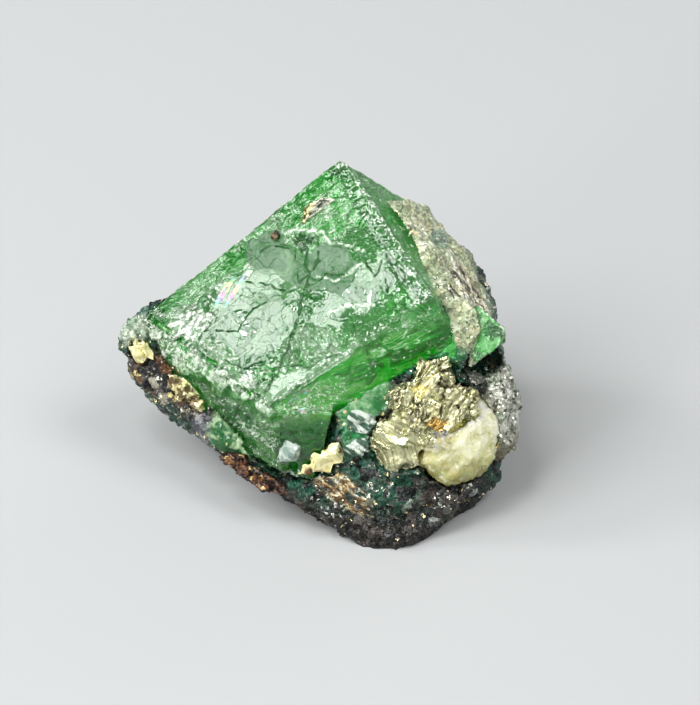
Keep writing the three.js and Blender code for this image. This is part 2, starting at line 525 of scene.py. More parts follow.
def point_on_face(across, up, out=0.0):
    """The place that lies so far across and up the large face, and so far out of it."""
    ways = ways_of(FRONT_FACE)
    return HEART + ways[0] * across + ways[1] * up + ways[2] * (FRONT_FACE[2] + out)


def oval(tree, flat, centre, radii, turn, soft=0.5):
    """1 within an oval on a face."""
    away = vector(tree, "SUBTRACT", flat, centre + (0,))
    along = Vector((math.cos(math.radians(turn)), math.sin(math.radians(turn)), 0))
    aside = Vector((-along.y, along.x, 0))
    reach = [
        vector(tree, "DOT_PRODUCT", away, tuple(way / radius))
        for way, radius in zip((along, aside), radii)
    ]
    return less_than_one(tree, (*reach, 0.0), soft)


def near_edge(tree, depth_one, depth_two, width, start=0.0):
    """1 along the edge where two faces meet, 0 a little way off."""
    return span(tree, calc(tree, "MAXIMUM", depth_one, depth_two), start, width, 1, 0)


print("middle of the large face:", [round(c, 2) for c in point_on_face(0, 0)])

# %% The windows of the large face
# Each: its middle, its radii, how far it is turned.
CLEAR_WINDOWS = [
    ((-2.7, 0.4), (2.2, 1.9), 0),
    ((1.0, 2.5), (0.75, 0.85), 0),
    ((2.4, 3.6), (1.2, 1.2), 0),
    ((1.0, 1.0), (1.1, 0.6), 30),
]
WHITE_STRIPS = [
    ((-0.25, -2.15), (1.55, 0.5), 54),
    ((1.55, -0.45), (1.3, 0.3), 48),
    ((-2.7, -2.4), (0.9, 0.4), 10),
]
DULL_WINDOWS = [((-2.7, 3.0), (1.4, 1.1), 30), ((0.1, 4.15), (1.0, 0.7), 0)]
FROSTED = [
    ((-2.4, -2.4), (1.1, 0.4), 15),
    ((2.1, 2.6), (0.6, 0.35), 10),
    ((-5.3, -0.6), (1.3, 0.6), 40),
]
CURLY = ((0.4, 0.1), (1.3, 1.0), 30)
DARK_SPLINTERS = [
    ((-1.45, 4.5), (0.6, 0.5), 60),
    ((-1.1, 3.8), (0.4, 0.6), 0),
    ((-1.2, -1.9), (0.3, 0.5), -20),
]
TOP_EDGE_START = (-7.24, -1.05)
TOP_EDGE_WAY = (0.556, 0.831)


def any_oval(tree, flat, ovals, soft=0.5):
    return strongest(tree, *[oval(tree, flat, *one, soft) for one in ovals])


print("windows in the large face:", len(CLEAR_WINDOWS + DULL_WINDOWS + WHITE_STRIPS))

# %% Relief of the garnet
FACE_MARKS = [
    "warp", "crease", "streaky", "rim", "curly", "frosted", "splintered", "level", "broad", "broken",
]


def past_edge(tree, flat):
    """How far a place on the large face lies inside its upper left edge."""
    across, up, _ = parts_of(tree, flat)
    from_start = calc(tree, "SUBTRACT", across, TOP_EDGE_START[0])
    above_start = calc(tree, "SUBTRACT", up, TOP_EDGE_START[1])
    return total(
        tree,
        calc(tree, "MULTIPLY", from_start, TOP_EDGE_WAY[1]),
        calc(tree, "MULTIPLY", above_start, -TOP_EDGE_WAY[0]),
    )


def garnet_relief(tree, place):
    flat = on_face(tree, place, FRONT_FACE)
    jagged = wander(tree, wander(tree, flat, 1.3, 0.22), 5, 0.06)
    depth = {name: below(tree, place, side) for name, side in SEEN_FACES.items()}
    window = any_oval(tree, jagged, CLEAR_WINDOWS + DULL_WINDOWS + WHITE_STRIPS)
    warp = noise(tree, flat, 0.5, 2)[0]
    inside_edge = past_edge(tree, flat)
    streaky = span(tree, total(tree, inside_edge, times(tree, warp, 1.6)), 2.4, 3.8, 1, 0)
    crease = noise(tree, flat, 0.75, 2, 0.5, 1.4)[0]

    facing = vector(tree, "DOT_PRODUCT", normal_of(tree), tuple(outward(*FRONT_FACE[:2])))
    front = span(tree, facing, 0.93, 0.99)
    rough = times(tree, outside(tree, window), front)
    not_glassy = outside(tree, times(tree, front, window))
    askew = facets(tree, wander(tree, place, 0.6, 0.9), 0.42, 0.07)
    swell = noise(tree, place, 0.4, 2)[0]
    fine = noise(tree, place, 1.9, 3, 0.6)[0]
    streak = streaks(tree, flat, TOP_EDGE_WAY + (0,), 4, 2.4)
    left = span(tree, depth["left"], 0.4, 0.2)
    chipped = strongest(
        tree,
        near_edge(tree, depth["front"], depth["left"], 0.55),
        times(tree, near_edge(tree, depth["band"], depth["left"], 0.4), 0.8),
        times(tree, near_edge(tree, depth["front"], depth["band"], 0.2), 0.35),
    )
    chip = noise(tree, place, 1.3, 3, 0.6)[0]
    height = total(
        tree,
        times(tree, askew, rough),
        times(tree, lines(tree, crease, 0.5, 0.03), -0.06, rough),
        span(tree, swell, 0.3, 0.7, -0.06, 0.0),
        times(tree, span(tree, fine, 0.3, 0.7, -0.06, 0.0), not_glassy),
        times(tree, span(tree, fine, 0.35, 0.6, -0.12, 0.0), left),
        times(tree, facets(tree, wander(tree, place, 1, 0.4), 1.0, 0.22), left),
        times(tree, chipped, span(tree, chip, 0.35, 0.6, -0.28, -0.04)),
        times(tree, span(tree, streak, 0.35, 0.65, -0.09, 0.0), streaky, rough),
    )
    marks = {
        "flat": flat,
        "jagged": jagged,
        "warp": warp,
        "crease": crease,
        "streaky": streaky,
        "rim": span(tree, inside_edge, 0.7, 0.35),
        "curly": oval(tree, jagged, *CURLY),
        "frosted": any_oval(tree, jagged, FROSTED),
        "splintered": any_oval(tree, jagged, DARK_SPLINTERS),
        "level": noise(tree, place, 0.9, 2, 0.5, 0.8)[0],
        "broad": noise(tree, place, 0.5, 3, 0.6)[0],
        "broken": noise(tree, flat, 2.5, 2)[0],
    }
    return height, marks


# %% [markdown]
# The large cracks, wrinkles and white veins are too plain to see for a noise, so each is a bent
# line with its own corners on the face. Places are made to stray before their distance to the
# line is taken, which makes the line ragged.

# %% Cracks and veins of the large face
LONG_CRACK = [
    (-1.15, 4.14), (-1.19, 3.7), (-0.7, 3.22), (-0.65, 2.26),
    (-0.43, 0.6), (-0.53, -0.95), (-0.82, -2.83),
]
WRINKLES = [
    [(-4.03, 2.66), (-3.51, 3.33), (-2.89, 3.86), (-2.03, 4.02)],
    [(-3.45, 2.09), (-1.76, 2.22), (-1.24, 2.47), (-0.4, 3.93)],
    [(-0.7, 2.0), (0.04, 3.44), (0.88, 3.7)],
    [(1.59, 4.69), (2.28, 3.98), (2.42, 4.74)],
    [(2.75, 4.26), (3.17, 3.57)],
    [(-3.08, -1.62), (-2.02, -1.69), (-1.43, -1.22)],
    [(-4.07, -0.47), (-3.0, -0.19), (-2.64, 1.03), (-2.17, 1.41)],
    [(-0.27, -0.91), (0.9, -0.75), (1.95, 0.29)],
    [(-1.9, 4.2), (-1.3, 3.3), (-0.9, 2.6), (-0.1, 2.3)],
    [(-0.9, 4.9), (-0.5, 4.0), (-0.75, 3.3)],
]
WHITE_VEINS = [
    [(-2.74, 4.82), (-2.33, 4.41), (-2.16, 4.9), (-0.79, 5.22), (-0.26, 4.9), (1.4, 5.0)],
    [(-0.3, 3.2), (0.6, 3.3), (1.5, 4.4)],
    [(0.9, 1.9), (1.8, 2.6), (2.8, 2.7)],
]


def far_from_line(tree, flat, corners):
    """Distance on a face from a line that bends at its corners."""
    distances = []
    for start, end in zip(corners, corners[1:]):
        way = Vector((end[0] - start[0], end[1] - start[1], 0))
        away = vector(tree, "SUBTRACT", flat, start + (0,))
        along = vector(tree, "DOT_PRODUCT", away, tuple(way / way.length_squared))
        along = node(tree, "ShaderNodeClamp", {"Value": along}).outputs[0]
        distances.append(vector(tree, "DISTANCE", away, scaled(tree, tuple(way), along)))
    return weakest(tree, *distances)


def along_lines(tree, flat, paths, width):
    """1 on any of the bent lines."""
    nearest = weakest(tree, *[far_from_line(tree, flat, corners) for corners in paths])
    return lines(tree, nearest, 0, width)


print("bent lines on the large face:", 1 + len(WRINKLES) + len(WHITE_VEINS))

# %% [markdown]
# The look of the crystal is too much for one function, so it is built in small ones that share
# what they work out, as parts of one gem: first the noises and the marks that the relief left,
# then where each kind of surface lies, then its colours, its frost, its cracks and its bumps.

# %% Patterns of the garnet
BAND_WAY = Vector((0.94, 0.2, 0.28)).normalized()
BEVEL_WAY = outward(*FRONT_FACE[:2]).cross(outward(*BEVEL_FACE[:2])).normalized()


def garnet_patterns(tree, place):
    """The marks on the mesh and the noises that the whole look draws on."""
    flat = mark_of(tree, "flat", "Vector")
    return SimpleNamespace(
        **{name: mark_of(tree, name) for name in FACE_MARKS},
        flat=flat,
        jagged=mark_of(tree, "jagged", "Vector"),
        depth={name: below(tree, place, side) for name, side in SEEN_FACES.items()},
        z=parts_of(tree, place)[2],
        up=parts_of(tree, flat)[1],
        cloud=noise(tree, place, 0.9, 5, 0.65, 0.8)[0],
        speckle=noise(tree, place, 3.5, 3, 0.7, 0.5)[0],
        fleck=noise(tree, flat, 5.5, 3, 0.7, 0.8)[0],
        fine=noise(tree, flat, 1.7, 3, 0.6, 1.0)[0],
        curl=noise(tree, place, 3.6, 2, 0.6, 1.4)[0],
        streak=streaks(tree, flat, TOP_EDGE_WAY + (0,), 3, 6.5),
        band_streak=streaks(tree, place, BAND_WAY, 5, 1.6),
        bevel_streak=streaks(tree, place, BEVEL_WAY, 7, 3.0),
    )


# %% Where each kind of surface lies on the garnet
# The etched corner where three faces meet, and the end of the band with its painted glints: place, radii,
# along
ETCHED_CORNER = ((4.1, -2.3, 10.5), (0.9, 1.3, 1.9), (0.94, 0.1, 0.3))
BAND_END = ((-0.3, -3.7, 6.3), (0.6, 0.8, 2.0), (0.94, 0.2, 0.28))


def add_faces(tree, place, gem):
    """The faces of the crystal, with ragged edges, and its top, corner and foot."""
    front = span(tree, gem.depth["front"], 0.36, 0.24)
    high = span(tree, total(tree, gem.z, gem.broad), 9.6, 10.2)
    corner = times(tree, span(tree, gem.depth["band"], 0.3, 0.15), high)
    gem.front = strongest(tree, front, corner)
    gem.other = outside(tree, gem.front)
    ragged_bevel = total(tree, gem.depth["bevel"], times(tree, gem.broad, 0.3))
    gem.bevel = times(tree, gem.front, span(tree, ragged_bevel, 0.62, 0.5))
    gem.side = span(tree, gem.depth["right"], 0.35, 0.2)
    gem.left = span(tree, gem.depth["left"], 0.35, 0.15)
    gem.near_top = span(tree, gem.up, 5.4, 7.6)
    gem.low = span(tree, total(tree, gem.z, times(tree, gem.broad, 0.8)), 6.2, 5.7)
    gem.band_end = times(tree, spot(tree, place, *BAND_END, 1.0), gem.other)
    etching = span(tree, gem.cloud, 0.38, 0.5)
    gem.etched_corner = times(tree, spot(tree, place, *ETCHED_CORNER, 0.9), etching)


def add_shards(tree, gem):
    """The shards of the large face, each with its own lean, haze and etching."""
    gem.shard_place = wander(tree, gem.flat, 1.1, 0.45)
    gem.shard = cells(tree, gem.shard_place, 0.6)
    gem.splinter = cells(tree, gem.shard_place, 3.0)
    gem.pick, gem.etching, _ = parts_of(tree, gem.shard["Color"])
    gem.splinter_pick = parts_of(tree, gem.splinter["Color"])[0]
    strayed = vector(tree, "SUBTRACT", gem.flat, gem.shard_place)
    middle = vector(tree, "ADD", gem.shard["Position"], strayed)
    gem.dull = any_oval(tree, middle, DULL_WINDOWS)
    gem.strip = any_oval(tree, gem.jagged, WHITE_STRIPS, 0.15)
    window = strongest(tree, any_oval(tree, middle, CLEAR_WINDOWS), gem.dull, gem.strip)
    streaky = times(tree, gem.streaky, 0.7)
    fine_grained = strongest(tree, streaky, gem.curly, gem.frosted, gem.splintered)
    ragged = total(
        tree,
        window,
        0.15,
        times(tree, gem.etching, -0.6),
        times(tree, fine_grained, -0.6),
        times(tree, gem.fleck, 0.4),
    )
    not_bevel = outside(tree, gem.bevel)
    gem.smooth = times(tree, span(tree, ragged, 0.2, 0.32), gem.front, not_bevel)
    gem.rough = outside(tree, gem.smooth)
    gem.etched_front = times(tree, gem.front, gem.rough, not_bevel)
    gem.splinters = times(tree, gem.splintered, span(tree, gem.splinter_pick, 0.35, 0.45), gem.etched_front)


# %% Colour of the glass
VIVID, LIGHT, DEEP = rgb(0.015, 0.9, 0.03), rgb(0.42, 1.0, 0.26), rgb(0.003, 0.26, 0.008)
WHITE, DARK, SHADOW = rgb(0.95, 1.0, 0.9), rgb(0.004, 0.12, 0.01), rgb(0.002, 0.12, 0.006)


def add_haze(tree, gem):
    """A pale haze under the etched face, thicker in some shards than in others."""
    ragged_cloud = total(tree, times(tree, gem.cloud, 0.65), times(tree, gem.fleck, 0.35))
    haze = total(
        tree,
        0.1,
        span(tree, ragged_cloud, 0.42, 0.52),
        span(tree, gem.pick, 0.2, 0.8, -0.3, 0.3),
        span(tree, gem.splinter_pick, 0.2, 0.8, -0.15, 0.15),
        times(tree, gem.frosted, 0.5),
        times(tree, gem.near_top, -0.25),
        times(tree, gem.rim, -0.6),
    )
    gem.haze = node(tree, "ShaderNodeClamp", {"Value": haze}).outputs[0]


def glass_colour(tree, gem):
    """Deep green on the sides, pale and hazy on the large face, greyer in its windows."""
    colour = painted(
        tree,
        mix(tree, span(tree, gem.band_streak, 0.42, 0.50), DEEP, VIVID),
        (span(tree, gem.band_streak, 0.55, 0.64), LIGHT),
        (times(tree, span(tree, gem.cloud, 0.53, 0.60), 0.85), SHADOW),
        (times(tree, span(tree, gem.cloud, 0.40, 0.34), 0.7), LIGHT),
        (times(tree, gem.low, 0.94), SHADOW),
    )
    body = mix(tree, span(tree, gem.broad, 0.4, 0.58), rgb(0.06, 0.66, 0.08), rgb(0.32, 0.90, 0.32))
    body = mix(tree, times(tree, gem.near_top, 0.7), body, rgb(0.02, 0.80, 0.04))
    own = span(tree, gem.pick, 0, 1, -0.08, 0.08)
    clearness = span(tree, total(tree, gem.cloud, own, times(tree, gem.dull, -0.1)), 0.36, 0.62)
    clear = mix(tree, clearness, rgb(0.04, 0.28, 0.06), rgb(0.36, 0.62, 0.34))
    clear = mix(tree, times(tree, gem.strip, 0.85), clear, rgb(0.88, 1.0, 0.85))
    fibre = span(tree, gem.band_streak, 0.4, 0.5)
    ridge = span(tree, gem.bevel_streak, 0.42, 0.58)
    return painted(
        tree,
        colour,
        (gem.front, body),
        (times(tree, gem.haze, gem.etched_front), rgb(0.80, 0.98, 0.76)),
        (gem.smooth, clear),
        (times(tree, gem.etched_corner, 0.85), mix(tree, fibre, rgb(0.01, 0.5, 0.02), rgb(0.2, 0.95, 0.18))),
        (gem.splinters, rgb(0.01, 0.13, 0.015)),
        (gem.bevel, mix(tree, ridge, rgb(0.03, 0.22, 0.04), rgb(0.14, 0.46, 0.14))),
        (times(tree, gem.side, 0.9), rgb(0.16, 0.42, 0.16)),
    )


# %% Frost of the garnet
ARCS = ((3.0, -2.8, 9.1), (0.9, 1.0, 1.5), (0.94, 0.2, 0.28))


def add_fine_lines(tree, place, gem):
    """Fine white lines on the etched face and in its curly part, and painted glints at the end of the band.
    """
    gem.kind = mix(tree, gem.streaky, gem.fleck, gem.streak)
    gem.unbroken = span(tree, gem.broken, 0.3, 0.42)
    drawn = span(tree, gem.kind, 0.42, 0.55)
    gem.fine_lines = times(tree, lines(tree, gem.fine, 0.5, 0.016), drawn, gem.etched_front)
    curls = strongest(tree, lines(tree, gem.curl, 0.5, 0.03), lines(tree, gem.curl, 0.62, 0.025))
    gem.curls = times(tree, curls, gem.curly, gem.etched_front)
    lit = span(tree, gem.speckle, 0.42, 0.50)
    gem.glints = times(tree, lines(tree, gem.curl, 0.5, 0.09), lit, gem.band_end)
    arcs = strongest(tree, lines(tree, gem.cloud, 0.5, 0.012), lines(tree, gem.band_streak, 0.53, 0.016))
    gem.arcs = times(tree, arcs, spot(tree, place, *ARCS, 0.8))
    vein = along_lines(tree, gem.jagged, WHITE_VEINS, 0.14)
    gem.veins = times(tree, vein, gem.unbroken, span(tree, gem.fleck, 0.4, 0.5), gem.front)


def etched_frost(tree, gem):
    """Frost in the etching of the large face."""
    wanted = total(
        tree,
        0.61,
        times(tree, gem.haze, -0.06),
        times(tree, gem.frosted, -0.08),
        span(tree, gem.etching, 0, 1, 0.05, -0.05),
        times(tree, gem.near_top, 0.06),
        times(tree, gem.rim, 0.05),
        times(tree, gem.etched_corner, 0.05),
        times(tree, gem.splinters, 0.1),
    )
    return times(tree, span(tree, calc(tree, "SUBTRACT", gem.kind, wanted), 0.0, 0.08), gem.etched_front)


def add_frost(tree, gem):
    """All that is white: frost, and painted glints on edges, band end and etching. Frost lets less light
    through than clear glass.
    """
    upper = total(tree, gem.z, times(tree, gem.broad, 2))
    gem.on_left = times(tree, gem.left, span(tree, upper, 6.4, 7.2, 0.12, 1))
    crumbs = span(tree, total(tree, gem.fleck, times(tree, gem.cloud, 0.3)), 0.55, 0.68)
    # Painted glints: white lines along the edges where the large face meets the band and the bevel, and the
    # bevel meets the right face
    worn = strongest(
        tree,
        near_edge(tree, gem.depth["front"], gem.depth["band"], 0.24, 0.14),
        near_edge(tree, gem.depth["front"], gem.depth["bevel"], 0.14, 0.07),
        near_edge(tree, gem.depth["bevel"], gem.depth["right"], 0.2, 0.12),
    )
    lit = span(tree, gem.speckle, 0.47, 0.55)
    scratches = times(tree, lines(tree, gem.band_streak, 0.5, 0.014), lit, gem.other)
    gem.frost = strongest(
        tree,
        etched_frost(tree, gem),
        gem.fine_lines,
        gem.curls,
        gem.glints,
        gem.arcs,
        gem.veins,
        times(tree, gem.on_left, crumbs, 0.85),
        times(tree, gem.left, gem.low, lines(tree, gem.level, 0.5, 0.018), 0.6),
        times(tree, gem.left, gem.low, lines(tree, gem.cloud, 0.49, 0.014), 0.7),
        times(tree, worn, span(tree, gem.fleck, 0.5, 0.6)),
        times(tree, gem.bevel, span(tree, gem.bevel_streak, 0.62, 0.68), 0.8),
        times(tree, scratches, outside(tree, gem.low), 0.8),
        # Painted glints: white specks on the etching
        times(tree, span(tree, gem.speckle, 0.67, 0.70), gem.rough),
    )


def left_colour(tree, gem):
    """The left side: mottled, with darker lumps low down."""
    flecked = span(tree, gem.speckle, 0.42, 0.55)
    lumpy = span(tree, gem.cloud, 0.47, 0.56)
    return painted(
        tree,
        mix(tree, flecked, rgb(0.03, 0.24, 0.04), rgb(0.46, 0.72, 0.36)),
        (gem.low, mix(tree, lumpy, rgb(0.004, 0.15, 0.008), rgb(0.34, 0.58, 0.26))),
        (times(tree, gem.on_left, 0.5), rgb(0.70, 0.92, 0.58)),
    )


# %% Rainbows in the garnet
# Where thin fractures split the light into colours: place, radii, along
RAINBOWS = [
    (point_on_face(-4.3, 1.35), (0.15, 0.3, 0.95), (0.55, 0.55, 0.69)),
    (point_on_face(-3.8, 1.5), (0.11, 0.3, 0.85), (0.55, 0.55, 0.69)),
    (Vector((-0.6, -3.75, 6.3)), (0.3, 0.6, 0.8), (0.9, 0.1, 0.3)),
]


def rainbows(tree, place, gem):
    """Strokes that run through the colours as they climb."""
    spots = strongest(tree, *[spot(tree, place, tuple(egg[0]), *egg[1:], 0.8) for egg in RAINBOWS])
    on_front = times(tree, span(tree, gem.kind, 0.43, 0.49), gem.front)
    strokes = strongest(tree, on_front, lines(tree, gem.band_streak, 0.5, 0.045))
    climb = total(tree, gem.z, times(tree, gem.fleck, 1.4), times(tree, gem.speckle, gem.other, 3))
    hue = calc(tree, "FRACT", times(tree, climb, 1.1))
    hues = node(tree, "ShaderNodeCombineColor", {0: hue, 1: 0.72, 2: 1.0}, mode="HSV").outputs[0]
    return times(tree, spots, strokes), hues


# %% Cracks and bumps of the garnet
def add_cracks(tree, gem):
    """Dark cracks and wrinkles, thin fractures and the rings in the curly part."""
    cracks = strongest(
        tree,
        along_lines(tree, gem.jagged, [LONG_CRACK], 0.1),
        along_lines(tree, gem.jagged, WRINKLES, 0.065),
    )
    gem.fainter_in_windows = span(tree, gem.smooth, 0, 1, 1, 0.4)
    thin = times(tree, lines(tree, gem.crease, 0.5, 0.006), span(tree, gem.warp, 0.45, 0.55))
    rings = times(tree, lines(tree, gem.curl, 0.56, 0.018), gem.curly, gem.etched_front)
    cracks = strongest(
        tree,
        times(tree, cracks, gem.unbroken),
        times(tree, thin, gem.fainter_in_windows),
        rings,
    )
    gem.cracks = times(tree, cracks, gem.front)


def garnet_bumps(tree, gem):
    """The finest relief, in millimetres."""
    calmer = span(tree, total(tree, gem.near_top, gem.rim), 0, 1, 1, 0.35)
    level = calc(tree, "MULTIPLY", gem.level, 9)
    riser = span(tree, calc(tree, "FRACT", level), 0, 0.1)
    steps = calc(tree, "ADD", calc(tree, "FLOOR", level), riser)
    return total(
        tree,
        times(tree, gem.fleck, span(tree, gem.etching, 0.3, 0.9, 0.02, 0.08), gem.etched_front, calmer),
        times(tree, leaning(tree, gem.shard_place, gem.shard, 0.10), gem.front),
        times(tree, leaning(tree, gem.shard_place, gem.splinter, 0.11), gem.etched_front, calmer),
        times(tree, leaning(tree, gem.shard_place, gem.splinter, 0.25), gem.splintered, gem.etched_front),
        times(tree, gem.cloud, 0.08, gem.etched_front),
        times(tree, gem.fine_lines, 0.03),
        times(tree, gem.curls, 0.04),
        times(tree, gem.cracks, -0.09),
        times(tree, lines(tree, gem.crease, 0.5, 0.03), -0.05, gem.etched_front),
        times(tree, steps, 0.05, gem.front, gem.fainter_in_windows),
        times(tree, gem.streak, 0.05, gem.streaky, gem.etched_front),
        times(tree, gem.band_streak, 0.12, gem.other, span(tree, gem.low, 0, 1, 1, 0.2)),
        times(tree, gem.cloud, 0.3, gem.other, span(tree, gem.low, 0, 1, 1, 0.25)),
        times(tree, gem.glints, 0.05),
        times(tree, gem.bevel_streak, 0.06, gem.bevel),
        times(tree, gem.speckle, 0.12, gem.left),
    )


# %% Look of the garnet
GLASS_IOR = 1.74


def garnet_look(tree, place):
    gem = garnet_patterns(tree, place)
    add_faces(tree, place, gem)
    add_shards(tree, gem)
    add_haze(tree, gem)
    add_fine_lines(tree, place, gem)
    add_frost(tree, gem)
    add_cracks(tree, gem)
    rainbow, hues = rainbows(tree, place, gem)
    colour = painted(
        tree,
        glass_colour(tree, gem),
        (times(tree, gem.left, 0.75), left_colour(tree, gem)),
        # Painted highlight: the end of the band is painted lighter
        (times(tree, gem.band_end, 0.5), LIGHT),
        (gem.frost, WHITE),
        (rainbow, hues),
        (gem.cracks, DARK),
    )
    veil = strongest(tree, gem.frost, rainbow)
    return {
        "Base Color": colour,
        "Roughness": total(tree, 0.04, times(tree, gem.dull, gem.smooth, 0.46), times(tree, veil, 0.3)),
        "Transmission Weight": span(tree, veil, 0, 1, 0.84, 0.3),
        "Normal": bumped(tree, garnet_bumps(tree, gem)),
    }


def green_glass(name, look, density, **plain):
    """Clear green: the light that goes through is soaked up, red and blue first."""
    material = new_material(name, look, IOR=GLASS_IOR, **plain)
    tree = material.node_tree
    inputs = {"Color": rgb(0.1, 0.97, 0.15), "Density": density}
    soak = node(tree, "ShaderNodeVolumeAbsorption", inputs).outputs[0]
    tree.links.new(soak, tree.nodes["Material Output"].inputs["Volume"])
    return material


garnet = green_glass("garnet", garnet_look, 200)

# %% [markdown]
# The faces that lie against the rock are set a little further out than they measure, so that
# the crystal goes into the rock with no air between and lets its light in.

# %% Make the crystal
INTO_ROCK = 0.25


def grown_into_rock(further):
    """The crystal's faces, with those that lie against the rock set further out."""
    against = [(bearing, rise, reach + further) for bearing, rise, reach in CRYSTAL_FACES[OPEN_FACES:]]
    return CRYSTAL_FACES[:OPEN_FACES] + against


def make_crystal():
    crystal = join(
        "garnet_crystal",
        cleave("main", grown_into_rock(INTO_ROCK)),
        cleave("lower", LOWER_FACES),
    )
    even_skin(crystal, 0.085)
    carve(crystal, "crazed faces", garnet_relief)
    return crystal


finish_piece(make_crystal(), garnet, "garnet", "tsavorite_crystal")

# %% [markdown]
# ## The small garnet
# A second garnet stands at the right, half out of the rock, with a pale etched rim. It is
# cleaved in the same way, on a heart of its own, and the rock laps over its left side.

# %% Make the small garnet
SMALL_HEART = Vector((7.4, -1.88, 8.42))
SMALL_FACES = [
    (-8, 36, 0.5),
    (55, 0, 0.8),
    (125, 36.6, 0.87),
    (91, 1.4, 0.84),
    (50.6, -39, 0.64),
    (-94.4, 5.6, 0.69),
    (180, 0, 1.2),
    (-60, -50, 1.4),
]


def etched(tree, place):
    rough = noise(tree, place, 2.5, 4, 0.6)[0]
    return total(tree, span(tree, rough, 0.3, 0.7, -0.1, 0.0), facets(tree, place, 1.2, 0.06)), {}


# How far to the right the crust reaches, and how high the darker foot of the crystal does
SMALL_ROCKY_EDGE = 5.15
SMALL_FOOT = (8.4, 7.4)


def pale_rim(tree, place, fleck):
    """White along the edges where the open faces meet."""
    depths = depths_below(tree, place, SMALL_FACES[:3], SMALL_HEART)
    rim = strongest(
        tree,
        near_edge(tree, depths[0], depths[1], 0.12, 0.06),
        near_edge(tree, depths[0], depths[2], 0.14, 0.08),
        near_edge(tree, depths[1], depths[2], 0.12, 0.06),
    )
    return times(tree, rim, span(tree, fleck, 0.46, 0.56), 0.8)


def small_look(tree, place):
    cloud = noise(tree, place, 1.6, 4, 0.65, 0.5)[0]
    colour = mix(tree, span(tree, cloud, 0.42, 0.56), rgb(0.004, 0.12, 0.008), rgb(0.09, 0.5, 0.10))
    streak = streaks(tree, place, (0.35, 0.4, 0.85), 5, 2.6)
    fleck = noise(tree, place, 5, 3, 0.7)[0]
    x, _, z = parts_of(tree, place)
    ragged = total(tree, x, times(tree, total(tree, streak, cloud), -1.6))
    rocky = span(tree, ragged, SMALL_ROCKY_EDGE - 0.1, SMALL_ROCKY_EDGE + 0.1, 1, 0)
    white = strongest(tree, pale_rim(tree, place, fleck), span(tree, fleck, 0.62, 0.7))
    crust = mix(tree, span(tree, fleck, 0.42, 0.56), rgb(0.16, 0.20, 0.09), rgb(0.62, 0.62, 0.44))
    colour = painted(
        tree,
        colour,
        (times(tree, span(tree, streak, 0.53, 0.6), 0.6), rgb(0.34, 0.62, 0.28)),
        (span(tree, z, *SMALL_FOOT, 0, 0.7), rgb(0.03, 0.20, 0.04)),
        (white, rgb(0.62, 0.82, 0.56)),
        (rocky, crust),
    )
    height = total(
        tree,
        times(tree, noise(tree, place, 4, 4, 0.6)[0], 0.12),
        times(tree, streak, 0.12),
        times(tree, fleck, rocky, 0.3),
    )
    return {"Base Color": colour, "Normal": bumped(tree, height)}


def make_small():
    small = cleave("small_garnet", SMALL_FACES, SMALL_HEART, 10)
    even_skin(small, 0.045)
    carve(small, "etched", etched)
    return small


small_garnet = green_glass("small garnet", small_look, 500, Transmission_Weight=0.35, Roughness=0.06)
finish_piece(make_small(), small_garnet, "garnet", "small_tsavorite_crystal")

# %% [markdown]
# ## The rock
# The rock is a mass of dark green, black and pale grains, each with its own broken faces. The
# measured solid gives the form; the grains are raised on it as facets that lean their own way.
# Single grains could be strewn on it instead, but they would look loose. Zones, each an egg or
# two laid on the surface, say where the rock is pale, green, striped or golden.

# %% Relief of the rock
FLANK = [
    ((4.2, 2.4, 12.1), (1.6, 2.2, 1.6)),
    ((5.6, 1.2, 10.8), (2.0, 3.2, 2.0)),
    ((6.7, -0.9, 9.3), (1.5, 2.2, 1.6)),
]
ZONES = {
    "grey flank": [((5.4, 2.3, 10.9), (1.0, 1.2, 0.5), (0.75, -0.3, -0.6))],
    "streaky flank": [((6.7, 0.0, 9.9), (0.8, 1.6, 1.7), (0.35, -0.5, -0.8))],
    "cloudy green": [((-3.9, -3.0, 3.9), (1.5, 1.2, 1.4))],
    "deep green": [
        ((1.5, -4.0, 4.9), (1.6, 0.9, 0.7), (1, 0, 0.2)),
        ((5.2, -2.7, 8.0), (1.2, 0.9, 0.9)),
    ],
    "white chips": [
        ((1.75, -3.8, 5.05), (0.42, 0.6, 0.8), (0.8, 0, -0.6)),
        ((1.6, -4.45, 4.1), (0.3, 0.6, 0.5), (0.7, 0, -0.7)),
    ],
    "streaks": [((1.0, -5.3, 2.3), (0.45, 0.7, 1.5), (0.75, -0.2, -0.6))],
    "black and gold": [
        ((-6.9, -1.0, 5.0), (1.3, 1.3, 2.4), (-0.8, 0.45, 0.3)),
        ((-5.4, -2.2, 3.8), (1.0, 1.0, 1.6)),
    ],
    "blue graphite": [((-5.3, -2.3, 3.4), (0.7, 0.8, 0.9))],
    "pale tip": [((-8.6, 0.7, 6.9), (0.7, 1.0, 0.9))],
    "black sparkle": [((6.0, -5.2, 1.9), (1.8, 1.6, 1.8))],
    # Painted shade: a gap painted black
    "shaded_gap": [((7.2, -2.7, 6.9), (0.7, 0.7, 0.75))],
    # Painted shade: two hollows on the flank painted black
    "shaded_hollow": [
        ((6.0, -0.95, 10.2), (0.3, 0.5, 0.75), (0.6, -0.4, -0.7)),
        ((6.3, -1.7, 9.0), (0.25, 0.4, 0.8), (0.4, -0.4, -0.8)),
    ],
    "green specks": [((5.2, -1.6, 9.2), (0.45, 1.2, 1.8), (0.3, -0.4, -0.85))],
    # Painted shade: the bottom of the rock, in the near black low grains
    "low": [((1, -5, -0.8), (9, 5, 2.6))],
}
# Heights between which the relief fades out, so that the rock stands on its flat base
FLAT_BASE = (0.02, 0.25)
